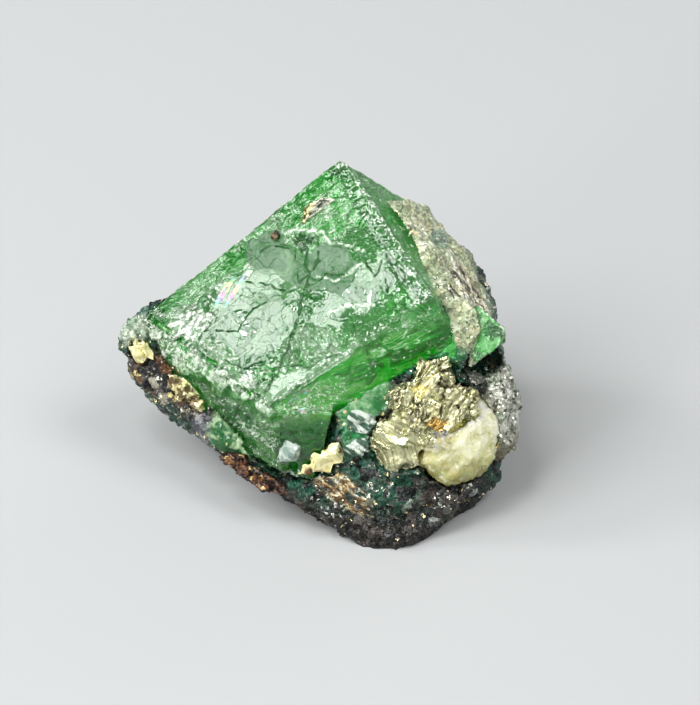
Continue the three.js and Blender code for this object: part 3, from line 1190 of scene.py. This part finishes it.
# Rock that laps over the left side of the small garnet: place, radii, along
COLLAR = ((6.65, -1.85, 8.75), (0.4, 0.7, 1.15), (0.1, -0.4, -0.9))
COLLAR_HEIGHT = 0.35
GREEN_FACETS = [((1.9, -3.4, 6.1), (0.9, 0.9, 1.5), (0.75, 0.1, 0.65))]


def covered(tree, place):
    """1 where the garnet lies on the rock."""
    depths = depths_below(tree, place, grown_into_rock(2 * INTO_ROCK), HEART)
    return span(tree, weakest(tree, *depths), 0.2, 0.45)


def in_eggs(tree, place, eggs):
    return strongest(tree, *[spot(tree, place, *egg) for egg in eggs])


def rock_relief(tree, place):
    ragged = wander(tree, place, 1.2, 0.2)
    coarse = facets(tree, ragged, 0.9, 0.17)
    small = facets(tree, wander(tree, ragged, 3, 0.1), 2.8, 0.24)
    lumps = noise(tree, place, 0.8, 5, 0.65)[0]
    under = covered(tree, place)
    flank = in_eggs(tree, ragged, FLANK)
    green = in_eggs(tree, ragged, GREEN_FACETS)
    smoothed = strongest(tree, green, in_eggs(tree, ragged, ZONES["cloudy green"]))
    worn = total(tree, 1, times(tree, flank, -0.5), times(tree, smoothed, -0.9))
    height = total(
        tree,
        times(tree, spot(tree, ragged, *COLLAR, 0.9), COLLAR_HEIGHT),
        times(tree, coarse, span(tree, flank, 0, 1, 1, 0.5), span(tree, smoothed, 0, 1, 1, 0.4)),
        times(tree, small, worn),
        times(tree, span(tree, lumps, 0.3, 0.7, -0.22, 0.14), worn),
    )
    standing = span(tree, parts_of(tree, place)[2], *FLAT_BASE)
    height = times(tree, height, outside(tree, under), standing)
    stray = wander(tree, place, 1.6, 0.3)
    marks = {name: in_eggs(tree, stray, eggs) for name, eggs in ZONES.items()}
    return height, {"under": under, "flank": flank, "green": green, **marks}


print("zones of the rock:", len(ZONES))

# %% [markdown]
# Each grain picks its colour from a short list, with a hard change from one to the next, as
# grains of different minerals have. The rock's look is built in small functions that share what
# they work out, like the garnet's.

# %% Colours of the rock
GRAINS = {
    "dark": [
        (0.0, rgb(0.004, 0.05, 0.024)),
        (0.3, rgb(0.004, 0.006, 0.005)),
        (0.48, rgb(0.008, 0.075, 0.042)),
        (0.66, rgb(0.025, 0.075, 0.045)),
        (0.78, rgb(0.006, 0.012, 0.009)),
        (0.92, rgb(0.12, 0.16, 0.12)),
    ],
    "tan": [
        (0.0, rgb(0.40, 0.47, 0.27)),
        (0.3, rgb(0.55, 0.60, 0.38)),
        (0.5, rgb(0.26, 0.35, 0.19)),
        (0.62, rgb(0.46, 0.45, 0.26)),
        (0.82, rgb(0.80, 0.85, 0.64)),
    ],
    "black and gold": [
        (0.0, rgb(0.010, 0.010, 0.010)),
        (0.3, rgb(0.06, 0.055, 0.05)),
        (0.5, rgb(0.015, 0.014, 0.012)),
        (0.64, rgb(0.26, 0.24, 0.18)),
        (0.76, rgb(0.68, 0.58, 0.24)),
        (0.86, rgb(0.12, 0.05, 0.015)),
    ],
    "sparkle": [
        (0.0, rgb(0.004, 0.005, 0.005)),
        (0.45, rgb(0.010, 0.012, 0.011)),
        (0.7, rgb(0.03, 0.022, 0.016)),
        (0.96, rgb(0.4, 0.42, 0.4)),
    ],
    # Near black: painted shade along the bottom of the rock
    "low": [
        (0.0, rgb(0.004, 0.004, 0.003)),
        (0.35, rgb(0.012, 0.009, 0.006)),
        (0.6, rgb(0.02, 0.018, 0.013)),
        (0.8, rgb(0.04, 0.03, 0.022)),
        (0.95, rgb(0.1, 0.09, 0.07)),
    ],
}
STREAK_WAY = Vector((0.75, -0.2, -0.6)).normalized()
FLANK_WAY = Vector((0.35, -0.5, -0.8)).normalized()


def rock_patterns(tree, place):
    """The marks on the mesh, the grains and crumbs, and the noises that the look draws on."""
    fine_place = wander(tree, wander(tree, place, 3, 0.14), 9, 0.05)
    grain, crumb = cells(tree, fine_place, 2.4), cells(tree, fine_place, 8)
    pick, second, third = parts_of(tree, grain["Color"])
    speck, dim, turn = parts_of(tree, crumb["Color"])
    rock = SimpleNamespace(
        within={name: mark_of(tree, name) for name in (*ZONES, "flank", "green", "under")},
        fine_place=fine_place,
        grain=grain,
        crumb=crumb,
        pick=pick,
        second=second,
        third=third,
        speck=speck,
        dim=dim,
        turn=turn,
        cloud=noise(tree, place, 1.2, 5, 0.65, 0.5)[0],
        cluster=span(tree, noise(tree, place, 0.7, 2)[0], 0.46, 0.56),
        streak=streaks(tree, place, STREAK_WAY, 5, 3.2),
        flank_streak=streaks(tree, place, FLANK_WAY, 4, 2.2),
    )
    rock.open = outside(tree, rock.within["under"])
    rock.calm = strongest(tree, *[rock.within[name] for name in ("deep green", "cloudy green", "green")])
    rock.restless = outside(tree, rock.calm)
    rock.chips = span(tree, total(tree, rock.within["white chips"], rock.streak), 1.02, 1.12)
    return rock


def banded(tree, value, own, *stops):
    """Bands of colour along streaks, with an edge that differs from grain to grain."""
    return choose(tree, total(tree, value, times(tree, own, 0.1), -0.05), *stops)


def rock_colour(tree, rock):
    """Each zone of the rock in its own colours; the low zone and the gap are painted shade."""
    grains = {name: choose(tree, rock.pick, *stops) for name, stops in GRAINS.items()}
    cloudy = span(tree, rock.cloud, 0.4, 0.6)
    greenish = span(tree, rock.cloud, 0.44, 0.60)
    veiled = span(tree, total(tree, rock.cloud, times(tree, rock.streak, 0.5)), 0.62, 0.86)
    bluish = span(tree, rock.third, 0.3, 0.9)
    streaky_flank = banded(
        tree,
        rock.flank_streak,
        rock.second,
        (0.0, rgb(0.03, 0.03, 0.02)),
        (0.41, rgb(0.36, 0.28, 0.16)),
        (0.47, rgb(0.55, 0.53, 0.36)),
        (0.53, rgb(0.85, 0.86, 0.72)),
        (0.59, rgb(0.34, 0.38, 0.24)),
    )
    striped = banded(
        tree,
        rock.streak,
        rock.third,
        (0.0, rgb(0.02, 0.04, 0.03)),
        (0.42, rgb(0.16, 0.09, 0.035)),
        (0.51, rgb(0.50, 0.40, 0.18)),
        (0.57, rgb(0.66, 0.68, 0.58)),
        (0.62, rgb(0.03, 0.07, 0.05)),
    )
    zones = {
        "low": grains["low"],
        "black sparkle": grains["sparkle"],
        "black and gold": grains["black and gold"],
        "blue graphite": mix(tree, bluish, rgb(0.04, 0.045, 0.055), rgb(0.24, 0.24, 0.26)),
        "flank": mix(tree, 0.45, grains["tan"], choose(tree, rock.speck, *GRAINS["tan"])),
        "grey flank": rgb(0.22, 0.32, 0.22),
        "streaky flank": streaky_flank,
        "cloudy green": mix(tree, greenish, rgb(0.01, 0.10, 0.02), rgb(0.34, 0.46, 0.26)),
        "deep green": mix(tree, cloudy, rgb(0.003, 0.05, 0.012), rgb(0.02, 0.2, 0.06)),
        "green": mix(tree, veiled, rgb(0.02, 0.16, 0.04), rgb(0.22, 0.40, 0.20)),
        "pale tip": mix(tree, cloudy, rgb(0.2, 0.3, 0.2), rgb(0.5, 0.58, 0.46)),
        "streaks": striped,
        "shaded_gap": rgb(0.005, 0.006, 0.005),
    }
    return painted(tree, grains["dark"], *[(rock.within[name], coat) for name, coat in zones.items()])


def rock_details(tree, rock, colour):
    """Painted shade in two hollows, green splashes on the flank, and a tone of its own for each crumb."""
    own = times(tree, rock.dim, 0.1)
    shaded_hollow = total(tree, rock.within["shaded_hollow"], times(tree, rock.flank_streak, -1), own)
    splash = total(tree, rock.within["green specks"], rock.cloud, times(tree, rock.dim, 0.3))
    colour = painted(
        tree,
        colour,
        # Painted shade in the hollows
        (span(tree, shaded_hollow, 0.5, 0.62), rgb(0.012, 0.012, 0.01)),
        (span(tree, splash, 1.1, 1.2), rgb(0.05, 0.34, 0.06)),
    )
    shade = mix(tree, span(tree, rock.dim, 0.0, 1.0), rgb(0.5, 0.5, 0.5), rgb(1.35, 1.35, 1.35))
    return mix(tree, span(tree, rock.restless, 0, 1, 0.3, 1), colour, shade, "MULTIPLY")


def rock_glints(tree, place, rock, colour):
    """Bright crumbs, gold specks and silvery flakes, fewer low down and away from clusters."""
    lower = span(tree, parts_of(tree, place)[2], 0.5, 3.5, 0.05, 0)
    few = calc(tree, "ADD", lower, span(tree, rock.cluster, 0, 1, 0.05, 0))
    bright = calc(tree, "GREATER_THAN", calc(tree, "SUBTRACT", rock.speck, few), 0.915)
    bright = times(tree, bright, rock.restless)
    gold = calc(tree, "LESS_THAN", rock.turn, times(tree, 0.035, rock.cluster))
    flaky = total(tree, rock.third, times(tree, few, -3), times(tree, rock.within["black sparkle"], 0.3))
    flake = times(tree, calc(tree, "GREATER_THAN", flaky, 0.88), rock.restless)
    chip_streak = span(tree, rock.streak, 0.46, 0.60)
    colour = painted(
        tree,
        colour,
        (times(tree, bright, rock.open, 0.8), rgb(0.75, 0.76, 0.66)),
        (rock.chips, mix(tree, chip_streak, rgb(0.04, 0.10, 0.06), rgb(0.60, 0.68, 0.60))),
        (times(tree, gold, rock.open), rgb(0.9, 0.78, 0.42)),
        (times(tree, flake, rock.open, 0.35), rgb(0.42, 0.44, 0.38)),
        # Painted light: under the garnet the rock is painted pale, standing in for light scattered inside
        # the crystal
        (rock.within["under"], rgb(0.85, 0.92, 0.8)),
    )
    return colour, times(tree, strongest(tree, flake, gold, bright), rock.open, 0.9)


def rock_bumps(tree, place, rock):
    """The finest relief, in millimetres: leaning grains and crumbs, ribs and a little grit."""
    streaked = strongest(tree, rock.within["streaks"], rock.chips)
    return total(
        tree,
        times(tree, leaning(tree, rock.fine_place, rock.grain, 0.4), span(tree, rock.calm, 0, 1, 1, 0.25)),
        times(tree, leaning(tree, rock.fine_place, rock.crumb, 0.5), span(tree, rock.calm, 0, 1, 1, 0.15)),
        times(tree, rock.streak, 0.12, streaked),
        times(tree, rock.flank_streak, 0.14, rock.within["streaky flank"]),
        times(tree, noise(tree, place, 12, 2, 0.6)[0], 0.03, rock.restless),
    )


# %% Make the rock
def rock_look(tree, place):
    rock = rock_patterns(tree, place)
    colour = rock_details(tree, rock, rock_colour(tree, rock))
    colour, metal = rock_glints(tree, place, rock, colour)
    return {
        "Base Color": colour,
        "Roughness": span(tree, rock.dim, 0.0, 1.0, 0.06, 0.4),
        "Metallic": metal,
        "Normal": bumped(tree, rock_bumps(tree, place, rock)),
    }


def make_from_measured(node_name, name, grain, title, relief):
    piece = copy_of_measured(node_name, name)
    even_skin(piece, grain)
    carve(piece, title, relief)
    return piece


rock_material = new_material("dark rock", rock_look, Specular_IOR_Level=0.5)
rock_piece = make_from_measured("host_rock", "rock", 0.115, "grains", rock_relief)
finish_piece(rock_piece, rock_material, "rock", "host_rock")

# %% [markdown]
# ## The pyrite
# Pyrite is a metal-bright brass yellow. The large mass is crumpled like foil, in folds that all
# run the same way, and darker and greener down in the folds. Cloth tools could crumple a sheet,
# but the folds of a mineral have sharp lips, and a wave that rises slowly and drops at once
# draws those well. Lower left, a rounder lobe has its folds in arcs.

# %% Make the pyrite mass
FOLD_WAY = Vector((0.55, 0.3, 0.78)).normalized()
ROUND_LOBE = ((3.4, -4.6, 4.5), (1.35, 1.3, 1.5))
ARC_CENTRE = (2.3, -4.9, 3.6)
# A smooth plate with a painted highlight, an orange stain and a rusty corner: place, radii
PLATE_HIGHLIGHT = ((4.4, -4.0, 7.0), (0.35, 0.4, 0.3))
ORANGE_STAIN = ((5.2, -4.5, 5.6), (0.42, 0.5, 0.3))
RUSTY_CORNER = ((2.3, -5.2, 3.9), (0.35, 0.5, 0.4))


def leaves(tree, value, count):
    """Rises slowly and drops at once, again and again, as overlapping leaves do."""
    return calc(tree, "FRACT", calc(tree, "MULTIPLY", value, count))


def crumpled(tree, place):
    folds = drawn_out(tree, wander(tree, place, 0.8, 0.35), FOLD_WAY, 4)
    big = leaves(tree, noise(tree, folds, 0.9, 1)[0], 8)
    small = leaves(tree, noise(tree, folds, 2.2, 1)[0], 7)
    reach = vector(tree, "DISTANCE", wander(tree, place, 0.9, 0.3), ARC_CENTRE)
    arcs = leaves(tree, reach, 2.4)
    lobe = spot(tree, place, *ROUND_LOBE)
    mass = outside(tree, lobe)
    height = total(
        tree,
        times(tree, big, 0.24, mass),
        times(tree, small, 0.10, mass),
        times(tree, arcs, 0.10, lobe),
        times(tree, noise(tree, place, 1.4, 2)[0], 0.25),
        -0.28,
    )
    gaps = total(
        tree,
        times(tree, span(tree, big, 0.0, 0.3), span(tree, small, 0.0, 0.3), mass),
        times(tree, span(tree, arcs, 0.0, 0.3, 0.3, 1), lobe),
    )
    return height, {"fold": gaps, "lobe": lobe, "reach": reach}


def pyrite_look(tree, place):
    cloud = noise(tree, place, 1.3, 4, 0.6)[0]
    lobe = mark_of(tree, "lobe")
    lobe_rib = leaves(tree, mark_of(tree, "reach"), 7)
    folds = drawn_out(tree, wander(tree, place, 1.2, 0.25), FOLD_WAY, 5)
    fold_rib = leaves(tree, noise(tree, folds, 2.6, 1)[0], 14)
    rib = total(tree, times(tree, lobe_rib, lobe), times(tree, fold_rib, outside(tree, lobe)))
    orange = spot(tree, wander(tree, place, 2, 0.2), *ORANGE_STAIN)
    rusty = spot(tree, wander(tree, place, 3, 0.2), *RUSTY_CORNER)
    colour = painted(
        tree,
        mix(tree, mark_of(tree, "fold"), rgb(0.10, 0.10, 0.045), rgb(0.86, 0.83, 0.52)),
        (span(tree, cloud, 0.48, 0.62, 0, 0.7), rgb(0.50, 0.52, 0.31)),
        (times(tree, lobe, 0.6), rgb(0.56, 0.57, 0.35)),
        (span(tree, rib, 0.0, 0.3, 0.55, 0), rgb(0.12, 0.12, 0.055)),
        # A painted highlight on one plate
        (spot(tree, wander(tree, place, 2, 0.1), *PLATE_HIGHLIGHT), rgb(1.0, 0.92, 0.45)),
        (times(tree, orange, 0.8), rgb(0.75, 0.45, 0.10)),
        (times(tree, rusty, span(tree, cloud, 0.45, 0.5)), rgb(0.45, 0.2, 0.06)),
    )
    dull = span(tree, noise(tree, place, 1.1, 3)[0], 0.4, 0.6, 0.22, 0.5)
    height = total(
        tree,
        facets(tree, place, 3.6, 0.2),
        times(tree, rib, 0.045),
        times(tree, noise(tree, place, 9, 3)[0], 0.025),
    )
    return {"Base Color": colour, "Roughness": dull, "Normal": bumped(tree, height)}


pyrite = new_material("pyrite", pyrite_look, Metallic=0.9)
crumpled_pyrite = make_from_measured("pyrite_mass", "crumpled_pyrite", 0.045, "folds", crumpled)
finish_piece(crumpled_pyrite, pyrite, "pyrite", "pyrite_mass")

# %% [markdown]
# Small bright pyrite grains stand low at the front, on the left rim and at the left tip. Each is
# a copy of its measured solid, worn in its own way, and all share one brighter metal. The ones
# on the rim are mixed with dark grains.

# %% Make the small pyrite grains
# The rim with its dark grains, and the rusty side of the cubes: place, radii
DARK_RIM = ((-5.9, -1.7, 4.6), (1.6, 1.0, 1.6))
RUSTY_SIDE = ((-0.35, -5.0, 3.1), (0.45, 0.5, 0.3))


def grain_metal_look(tree, place):
    fine = facets(tree, place, 5, 0.25)
    dark_grains = span(tree, noise(tree, place, 3.5, 3, 0.6)[0], 0.46, 0.54, 0.9, 0)
    colour = painted(
        tree,
        mix(tree, mark_of(tree, "fold"), rgb(0.16, 0.11, 0.04), rgb(1.0, 0.94, 0.52)),
        (times(tree, spot(tree, place, *DARK_RIM), dark_grains), rgb(0.10, 0.06, 0.03)),
        (spot(tree, wander(tree, place, 2, 0.15), *RUSTY_SIDE), rgb(0.3, 0.14, 0.06)),
    )
    dull = span(tree, noise(tree, place, 2, 3)[0], 0.4, 0.6, 0.3, 0.55)
    return {"Base Color": colour, "Roughness": dull, "Normal": bumped(tree, fine)}


bright_pyrite = new_material("bright pyrite", grain_metal_look, Metallic=0.6)


def grainy_metal(tree, place):
    rough = noise(tree, place, 2, 3)[0]
    height = total(tree, facets(tree, place, 2.6, 0.3), times(tree, rough, -0.1))
    return height, {"fold": span(tree, rough, 0.40, 0.48)}


def angular_nugget(tree, place):
    rough = noise(tree, place, 2, 3)[0]
    coarse, small = facets(tree, place, 1.3, 0.42), facets(tree, place, 3.2, 0.12)
    height = total(tree, coarse, small, times(tree, rough, -0.1))
    return height, {"fold": span(tree, rough, 0.30, 0.38)}


def worn_cubes(tree, place):
    rough = noise(tree, place, 3, 3)[0]
    height = total(tree, times(tree, rough, -0.06), facets(tree, place, 1.3, 0.1))
    return height, {"fold": span(tree, rough, 0.3, 0.38)}


for node_name, name, relief in [
    ("pyrite_cubes", "pyrite_cube_cluster", worn_cubes),
    ("pyrite_tip_grain", "pyrite_at_the_tip", angular_nugget),
    ("pyrite_rim_grains", "pyrite_on_the_rim", grainy_metal),
]:
    piece = make_from_measured(node_name, name, 0.04, name, relief)
    finish_piece(piece, bright_pyrite, "pyrite", node_name)

# %% [markdown]
# ## The calcite nodule
# The nodule is waxy and pale yellow, greyer in patches, flecked with white and browner low down.
# Wax and calcite let light in a little way and scatter it, so most of its colour comes from
# light under the skin, and a clear gloss lies on top.

# %% Make the calcite nodule
def waxy(tree, place):
    lumps = noise(tree, place, 0.9, 3, 0.5)[0]
    fine = noise(tree, place, 2.6, 3, 0.6)[0]
    height = total(
        tree,
        span(tree, lumps, 0.3, 0.7, -0.12, 0.14),
        span(tree, fine, 0.3, 0.7, -0.07, 0.03),
        facets(tree, wander(tree, place, 1, 0.3), 1.9, 0.05),
    )
    return height, {}


# A golden side where it meets the pyrite: place, radii, along
GOLDEN_SIDE = ((5.0, -4.6, 4.9), (0.7, 1.2, 1.1), (0.6, 0.0, -0.8))


def calcite_look(tree, place):
    z = parts_of(tree, place)[2]
    cloud = noise(tree, place, 1.2, 6, 0.7, 0.8)[0]
    fine = noise(tree, place, 4, 4, 0.7)[0]
    low, high = rgb(0.42, 0.38, 0.10), rgb(1.0, 1.0, 0.62)
    colour = mix(tree, span(tree, total(tree, z, cloud), 3.6, 5.4), low, high)
    colour = mix(tree, times(tree, span(tree, cloud, 0.5, 0.40), 0.8), colour, rgb(0.50, 0.54, 0.26))
    colour = mix(tree, times(tree, span(tree, fine, 0.56, 0.66), 0.6), colour, rgb(1.0, 1.0, 0.82))
    golden = times(tree, spot(tree, place, *GOLDEN_SIDE, 1.4), span(tree, fine, 0.4, 0.55, 0.3, 0.9))
    colour = mix(tree, golden, colour, rgb(0.62, 0.48, 0.10))
    height = total(tree, times(tree, fine, 0.12), facets(tree, wander(tree, place, 3, 0.1), 4.5, 0.08))
    return {"Base Color": colour, "Normal": bumped(tree, height)}


calcite = new_material(
    "calcite",
    calcite_look,
    Roughness=0.12,
    IOR=1.6,
    Transmission_Weight=0.2,
    Subsurface_Weight=1.0,
    Subsurface_Radius=(1.0, 1.0, 0.6),
    Subsurface_Scale=0.0012,
)
nodule = make_from_measured("calcite_nodule", "calcite", 0.06, "waxy", waxy)
finish_piece(nodule, calcite, "calcite", "calcite_nodule")

# %% [markdown]
# ## The graphite lump
# The lump beside the calcite is a mass of silvery flakes that glint. Two sizes of leaning facets
# make the flakes, and each picks its own grey, with a brown foot and one gold grain.

# %% Make the graphite lump
BROWN_FOOT = (4.4, 3.2)
GOLD_GRAIN = ((7.75, -4.2, 3.9), (0.25, 0.9, 0.22))


def flaky(tree, place):
    ragged = wander(tree, place, 1.5, 0.15)
    return total(tree, facets(tree, ragged, 1.6, 0.22), facets(tree, ragged, 3.5, 0.3)), {}


def graphite_look(tree, place):
    grain = cells(tree, wander(tree, place, 6, 0.06), 7)
    pick = parts_of(tree, grain["Color"])[0]
    broad = noise(tree, place, 1.4, 3, 0.6, 0.6)[0]
    colour = choose(
        tree,
        total(tree, times(tree, pick, 0.5), times(tree, span(tree, broad, 0.3, 0.7), 0.5)),
        (0.0, rgb(0.1, 0.1, 0.085)),
        (0.25, rgb(0.4, 0.41, 0.34)),
        (0.5, rgb(0.64, 0.65, 0.56)),
        (0.78, rgb(0.95, 0.95, 0.9)),
    )
    patch = span(tree, noise(tree, place, 0.9, 3)[0], 0.5, 0.6)
    colour = mix(tree, times(tree, patch, 0.6), colour, rgb(0.24, 0.32, 0.21))
    low = span(tree, parts_of(tree, place)[2], *BROWN_FOOT)
    colour = mix(tree, times(tree, low, 0.7), colour, rgb(0.14, 0.09, 0.04))
    gold = spot(tree, wander(tree, place, 3, 0.1), *GOLD_GRAIN)
    colour = mix(tree, gold, colour, rgb(0.8, 0.6, 0.2))
    height = total(tree, facets(tree, place, 7, 0.35), times(tree, broad, 0.25))
    return {"Base Color": colour, "Normal": bumped(tree, height)}


graphite = new_material("graphite", graphite_look, Roughness=0.26, Metallic=0.6)
graphite_lump = make_from_measured("graphite_lump", "graphite", 0.065, "flakes", flaky)
finish_piece(graphite_lump, graphite, "graphite", "graphite_lump")

# %% [markdown]
# ## The rusty seam
# Along the lower left edge the pyrite has weathered to a thin brown crust. It is the measured
# form, worn down until it breaks up, with a few gold grains left in it.

# %% Make the rusty seam
def crusty(tree, place):
    """A thin crust: the measured form, worn down and broken."""
    worn = span(tree, noise(tree, place, 1.3, 4, 0.65)[0], 0.3, 0.65, -0.28, 0.02)
    return total(tree, worn, facets(tree, wander(tree, place, 2, 0.2), 2.0, 0.2)), {}


def rusty_look(tree, place):
    pick = parts_of(tree, cells(tree, wander(tree, place, 4, 0.12), 6)["Color"])[0]
    cloud = noise(tree, place, 1.5, 4, 0.65)[0]
    colour = choose(
        tree,
        total(tree, times(tree, pick, 0.5), times(tree, cloud, 0.5)),
        (0.0, rgb(0.010, 0.005, 0.003)),
        (0.38, rgb(0.04, 0.015, 0.006)),
        (0.54, rgb(0.11, 0.04, 0.012)),
        (0.7, rgb(0.24, 0.13, 0.05)),
    )
    colour = mix(tree, calc(tree, "GREATER_THAN", pick, 0.95), colour, rgb(0.6, 0.45, 0.2))
    return {"Base Color": colour, "Normal": bumped(tree, facets(tree, place, 6, 0.4))}


rust = new_material("rusty pyrite", rusty_look, Roughness=0.35, Metallic=0.2)
seam = make_from_measured("rusty_pyrite_seam", "rusty_seam", 0.05, "rusty", crusty)
finish_piece(seam, rust, "rusty_pyrite", "rusty_pyrite_seam")

# %% [markdown]
# ## The quartz grain
# The quartz grain is a small clear grey chip with broken faces. A broken chip has flat faces
# too, so it is cleaved like the crystals.

# %% Make the quartz grain
QUARTZ_HEART = Vector((-1.4, -4.42, 3.9))
QUARTZ_FACES = [
    (10, 50, 0.42),
    (-50, 20, 0.40),
    (60, 5, 0.42),
    (-10, -10, 0.45),
    (-95, 5, 0.56),
    (-100, 40, 0.5),
    (120, 35, 0.5),
    (180, 0, 0.5),
    (20, -60, 0.42),
    (-30, 80, 0.46),
]


def quartz_look(tree, place):
    cloud = noise(tree, place, 2, 4)[0]
    colour = mix(tree, span(tree, cloud, 0.42, 0.56), rgb(0.3, 0.45, 0.37), rgb(0.75, 0.84, 0.76))
    return {"Base Color": colour, "Normal": bumped(tree, facets(tree, place, 3.5, 0.3))}


quartz = new_material("quartz", quartz_look, Roughness=0.06, IOR=1.55, Transmission_Weight=0.4)
quartz_grain = cleave("quartz", QUARTZ_FACES, QUARTZ_HEART, 3)
even_skin(quartz_grain, 0.03)
carve(quartz_grain, "broken faces", etched)
finish_piece(quartz_grain, quartz, "quartz", "quartz_grain")

# %% [markdown]
# ## Grains in the large face
# A sliver of pyrite lies almost flush in the large face, silvery, with fine ribs along it and a
# golden end. It is a bar with both ends cut askew, turned to lie in the face. Lower down sits
# one dark speck.

# %% Make the sliver and the speck in the large face
FACE_ACROSS, FACE_UP, FACE_OUT = ways_of(FRONT_FACE)
SLIVER_MIDDLE = (-1.5, 6.2)
SLIVER_SIZE = (1.95, 0.62, 0.3)
SLIVER_TURN = math.radians(52)
SLIVER_WAY = FACE_ACROSS * math.cos(SLIVER_TURN) + FACE_UP * math.sin(SLIVER_TURN)
SLIVER_SUNK = -0.08
GOLDEN_END = (-1.5, -1.8)


def ribbed(tree, place):
    rib = streaks(tree, place, SLIVER_WAY.normalized(), 9, 3.4)
    ragged = noise(tree, place, 2.2, 3, 0.6)[0]
    raised = span(tree, rib, 0.35, 0.65, -0.14, 0.05)
    height = total(tree, raised, span(tree, ragged, 0.3, 0.6, -0.14, 0.02))
    return height, {"rib": rib, "end": on_face(tree, place, FRONT_FACE)}


def sliver_look(tree, place):
    across = parts_of(tree, mark_of(tree, "end", "Vector"))[0]
    raised = span(tree, mark_of(tree, "rib"), 0.41, 0.47)
    silver = mix(tree, raised, rgb(0.03, 0.04, 0.025), rgb(0.85, 0.88, 0.72))
    speck = noise(tree, place, 6, 2)[0]
    golden = mix(tree, span(tree, speck, 0.46, 0.54), rgb(0.10, 0.11, 0.04), rgb(0.95, 0.85, 0.45))
    return {"Base Color": mix(tree, span(tree, across, *GOLDEN_END), silver, golden)}


def make_sliver():
    bpy.ops.object.select_all(action="DESELECT")
    bpy.ops.mesh.primitive_cube_add(size=1, location=(0, 0, 0))
    sliver = name_new("pyrite_sliver_in_the_face")
    bpy.ops.transform.resize(value=SLIVER_SIZE, center_override=(0, 0, 0))
    bpy.ops.object.transform_apply(location=True, rotation=True, scale=True)
    bpy.ops.object.mode_set(mode="EDIT")
    cut = 0.8 * SLIVER_SIZE[0] / 2
    for end, lean in ((1, 0.9), (-1, 1.2)):
        bpy.ops.mesh.select_all(action="SELECT")
        bpy.ops.mesh.bisect(
            plane_co=(end * cut, 0, 0), plane_no=(end, lean, 0), use_fill=True, clear_outer=True
        )
    bpy.ops.object.mode_set(mode="OBJECT")
    side = FACE_OUT.cross(SLIVER_WAY)
    turn = Matrix((SLIVER_WAY, side, FACE_OUT)).transposed().to_4x4()
    sliver.matrix_world = Matrix.Translation(point_on_face(*SLIVER_MIDDLE, SLIVER_SUNK)) @ turn
    bpy.ops.object.transform_apply(location=True, rotation=True, scale=True)
    even_skin(sliver, 0.025)
    carve(sliver, "ribs", ribbed)
    return sliver


ribbed_pyrite = new_material("ribbed pyrite", sliver_look, Roughness=0.3, Metallic=0.3)
finish_piece(make_sliver(), ribbed_pyrite, "pyrite", "pyrite_sliver")


def speck_look(tree, _):
    colour = mix(tree, mark_of(tree, "fold"), rgb(0.015, 0.012, 0.008), rgb(0.22, 0.16, 0.08))
    return {"Base Color": colour}


dark_speck = new_material("dark speck", speck_look, Roughness=0.3)
speck = make_from_measured("pyrite_speck", "speck", 0.025, "speck", grainy_metal)
finish_piece(speck, dark_speck, "pyrite", "pyrite_speck")

# %% [markdown]
# ## Light and floor
# A large soft light hangs where the crystal's large face mirrors it to the viewer. That is what
# turns the smooth patches pale. Three small bright ones beside it put sparks on the etching, one
# lights the right side from high up, and a weak one lights the back.

# %% Set up light and floor
SKY_STRENGTH = 0.38
FLOOR_GREY = rgb(0.385, 0.395, 0.397)


def softbox(name, bearing, rise, distance, size, brightness):
    data = bpy.data.lights.new(name, "AREA")
    data.shape = "DISK"
    data.size = size * MM
    data.energy = brightness * math.pi * math.pi * (data.size / 2) ** 2
    light = bpy.data.objects.new(name, data)
    way = outward(bearing, rise)
    light.location = AIM + way * distance * MM
    light.rotation_euler = way.to_track_quat("Z", "Y").to_euler()
    bpy.context.scene.collection.objects.link(light)
    print(name, "shines with", round(data.energy, 2), "W")


softbox("front face light", -59, 46, 300, 210, 5.8)
softbox("middle of the face light", -59, 46, 295, 120, 2.0)
softbox("high spark", -40, 70, 300, 75, 22)
softbox("left spark", -98, 38, 300, 75, 22)
softbox("low spark", -40, 18, 300, 60, 22)
softbox("right light", 65, 58, 350, 170, 8)
softbox("back light", 137, 20, 300, 180, 1.6)

world = bpy.data.worlds.new("studio")
world.use_nodes = True
world.node_tree.nodes["Background"].inputs["Color"].default_value = rgb(1, 1, 1)
world.node_tree.nodes["Background"].inputs["Strength"].default_value = SKY_STRENGTH
bpy.context.scene.world = world
bpy.context.scene.view_settings.view_transform = "Standard"

bpy.ops.object.select_all(action="DESELECT")
bpy.ops.mesh.primitive_plane_add(size=2)
floor = name_new("floor")
floor_material = bpy.data.materials.new("floor")
floor_material.use_nodes = True
floor_shader = floor_material.node_tree.nodes["Principled BSDF"]
floor_shader.inputs["Base Color"].default_value = FLOOR_GREY
floor_shader.inputs["Roughness"].default_value = 0.9
floor.data.materials.append(floor_material)
